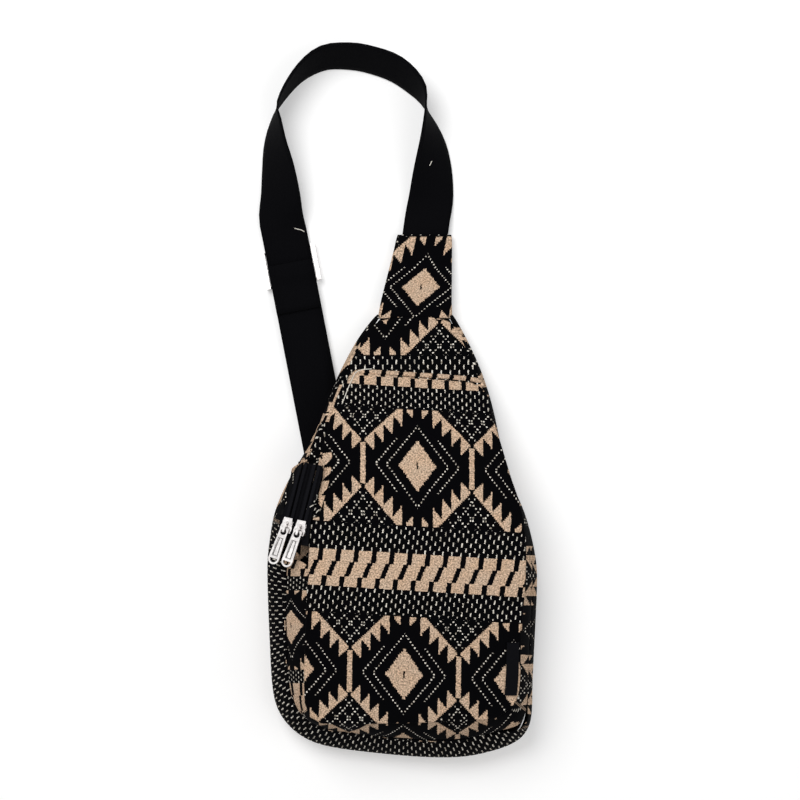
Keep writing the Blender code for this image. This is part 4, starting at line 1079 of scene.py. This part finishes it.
def seams(front, upper):
    pocket = rim_roll(
        "pocket_seam", POCKET_RIM, inset=1.3 * MM, tree=tree_over(front),
        sink=1.2 * MM, size=1.5 * MM, cut=front_cut,
    )
    side = rim_roll(
        "side_seam", SIDE_SEAM, inset=1.6 * MM, tree=tree_over(upper),
        sink=1.1 * MM, size=1.4 * MM, cut=side_cut, start=0.03, end=0.97,
    )
    return pocket, side


def back_cut(points):
    """The back runs on round its own edge."""
    px, py = pixel_of(points)
    rise = points[:, 2] / STITCH * math.sqrt(0.5)
    return px + rise, py + rise


PAD_MOMENTS = 20


def swollen(piece, voxel, pressure, most, floor):
    """Fills a pad: its cloth swells in a simulation, no point moving further than most or below the floor."""
    even = piece.modifiers.new("even", "REMESH")
    even.mode = "VOXEL"
    even.voxel_size = voxel
    applied(piece)
    before = points_of(piece)
    cloth = piece.modifiers.new("cloth", "CLOTH")
    cloth.settings.use_pressure = True
    cloth.settings.uniform_pressure_force = pressure
    cloth.settings.effector_weights.gravity = 0
    for moment in range(1, PAD_MOMENTS + 1):
        bpy.context.scene.frame_set(moment)
    after = points_of(piece.evaluated_get(bpy.context.evaluated_depsgraph_get()))
    piece.modifiers.clear()
    bpy.context.scene.frame_set(1)
    shift = after - before
    far = np.linalg.norm(shift, axis=1)
    points = before + shift * np.minimum(1, most / np.maximum(far, TINY))[:, None]
    points[:, 2] = np.maximum(points[:, 2], floor)
    move(piece, points)
    subdivided(piece, 1)
    return applied(piece)


# Middle of the strap as seen from above, in mm, from the neck over the arch and the adjuster to the ring
STRAP_ROUTE = (
    (15.5, 86), (19.3, 115.5), (21.3, 130.2), (24.2, 148.6), (25, 180.8), (19.9, 207.5), (13.6, 220.8),
    (-0.9, 233.4), (-19.1, 240.1), (-34.7, 242.5), (-52.9, 240.8), (-70.1, 228.5), (-83.6, 208.5),
    (-85.7, 194.9), (-86, 180.2), (-84.1, 164.1), (-82.6, 146.3), (-82.3, 130.5), (-75.5, 95.5),
    (-14.5, -218.3),
)


def strap_cut(points):
    """Across and along the webbing."""
    route = np.array(STRAP_ROUTE) * MM
    places = points[:, :2]
    nearest = np.full(len(places), np.inf)
    along = np.zeros(len(places))
    across = np.zeros(len(places))
    passed = 0.0
    for first, last in zip(route[:-1], route[1:]):
        way = last - first
        length = float(np.hypot(*way))
        way = way / length
        share = np.clip((places - first) @ way, 0, length)
        off = places - first - share[:, None] * way
        far = np.hypot(off[:, 0], off[:, 1])
        closer = far < nearest
        nearest[closer] = far[closer]
        along[closer] = passed + share[closer]
        across[closer] = (off[:, 0] * way[1] - off[:, 1] * way[0])[closer]
        passed += length
    return across / STITCH, along / STITCH


def finish_with(look, *names):
    for name in names:
        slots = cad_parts[name].data.materials
        slots.clear()
        slots.append(look)


# Everything is made from here on
camera()
studio()

CLOTH = jacquard()
WEBBING = webbing()
LINING = plain_weave("plain-woven cotton lining", "#0B0B0D", "#16161A", 0.5 * MM)
TAPE_CLOTH = plain_weave("woven polyester zip tape", "#040406", "#0C0C10", 0.4 * MM)
COIL = plain_weave("nylon zip coil", "#08080A", "#15151A", 0.3 * MM)
PLATE = nickel()
BACK_COTTON = plain_weave("plain-woven black cotton", "#060608", "#111114", 0.5 * MM)
# Painted shade: dark colour for the line round each pull's sunk panel, standing in for the shade at its edge
PANEL_SHADE = plain_weave("painted shade round the pull panel", "#1A1817", "#2A2725", 0.3 * MM)
THREAD = plain_weave("cream cotton thread", "#CFC8BA", "#F3EFE6", 0.3 * MM)

HUB = (CAMERA_PLACE.x + 1.4 * MM, -130.9 * MM)
SIDE = Rim("main_gusset", HUB)
SIDE_SEAM = Rim("middle_panel", HUB)
POCKET_RIM = Rim("front_panel", HUB)

front, upper, side, pocket_side = body_cloth()
neck()
pocket_seam, side_seam = seams(front, upper)

back = dressed("back_pad", "back_panel", BACK_COTTON, plain=True)
swollen(back, voxel=2.5 * MM, pressure=4.0, most=1.6 * MM, floor=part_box("back_panel")[0].z)
cut_from(back, back_cut)

strap = dressed("strap_webbing", "strap", WEBBING, plain=True)
tail = dressed("strap_end_webbing", "strap_end", WEBBING, plain=True)
tab = dressed("ring_tab_cloth", "ring_tab", WEBBING, plain=True)
for piece in (strap, tail, tab):
    cut_from(piece, strap_cut)

on_body = [tree_over(piece) for piece in (front, upper, side, pocket_side)]
on_zip = [tree_over(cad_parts[name]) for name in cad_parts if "tape" in name or "coil" in name]
top_hem = hem(on_body[:2])
left_flap, right_flap = zip_flaps(on_body + on_zip)
loose_threads([tree_over(strap), *[tree_over(piece) for piece in (top_hem, right_flap)], *on_body, *on_zip])
pull_shade_lines("main_pull")
pull_shade_lines("pocket_pull")

finish_with(PLATE, "strap_adjuster", "strap_ring", "main_slider", "main_pull", "pocket_slider", "pocket_pull")
finish_with(LINING, "divider_facing")
finish_with(TAPE_CLOTH, "label_tab", *[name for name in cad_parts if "tape" in name])
finish_with(COIL, *[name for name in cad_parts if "coil" in name])
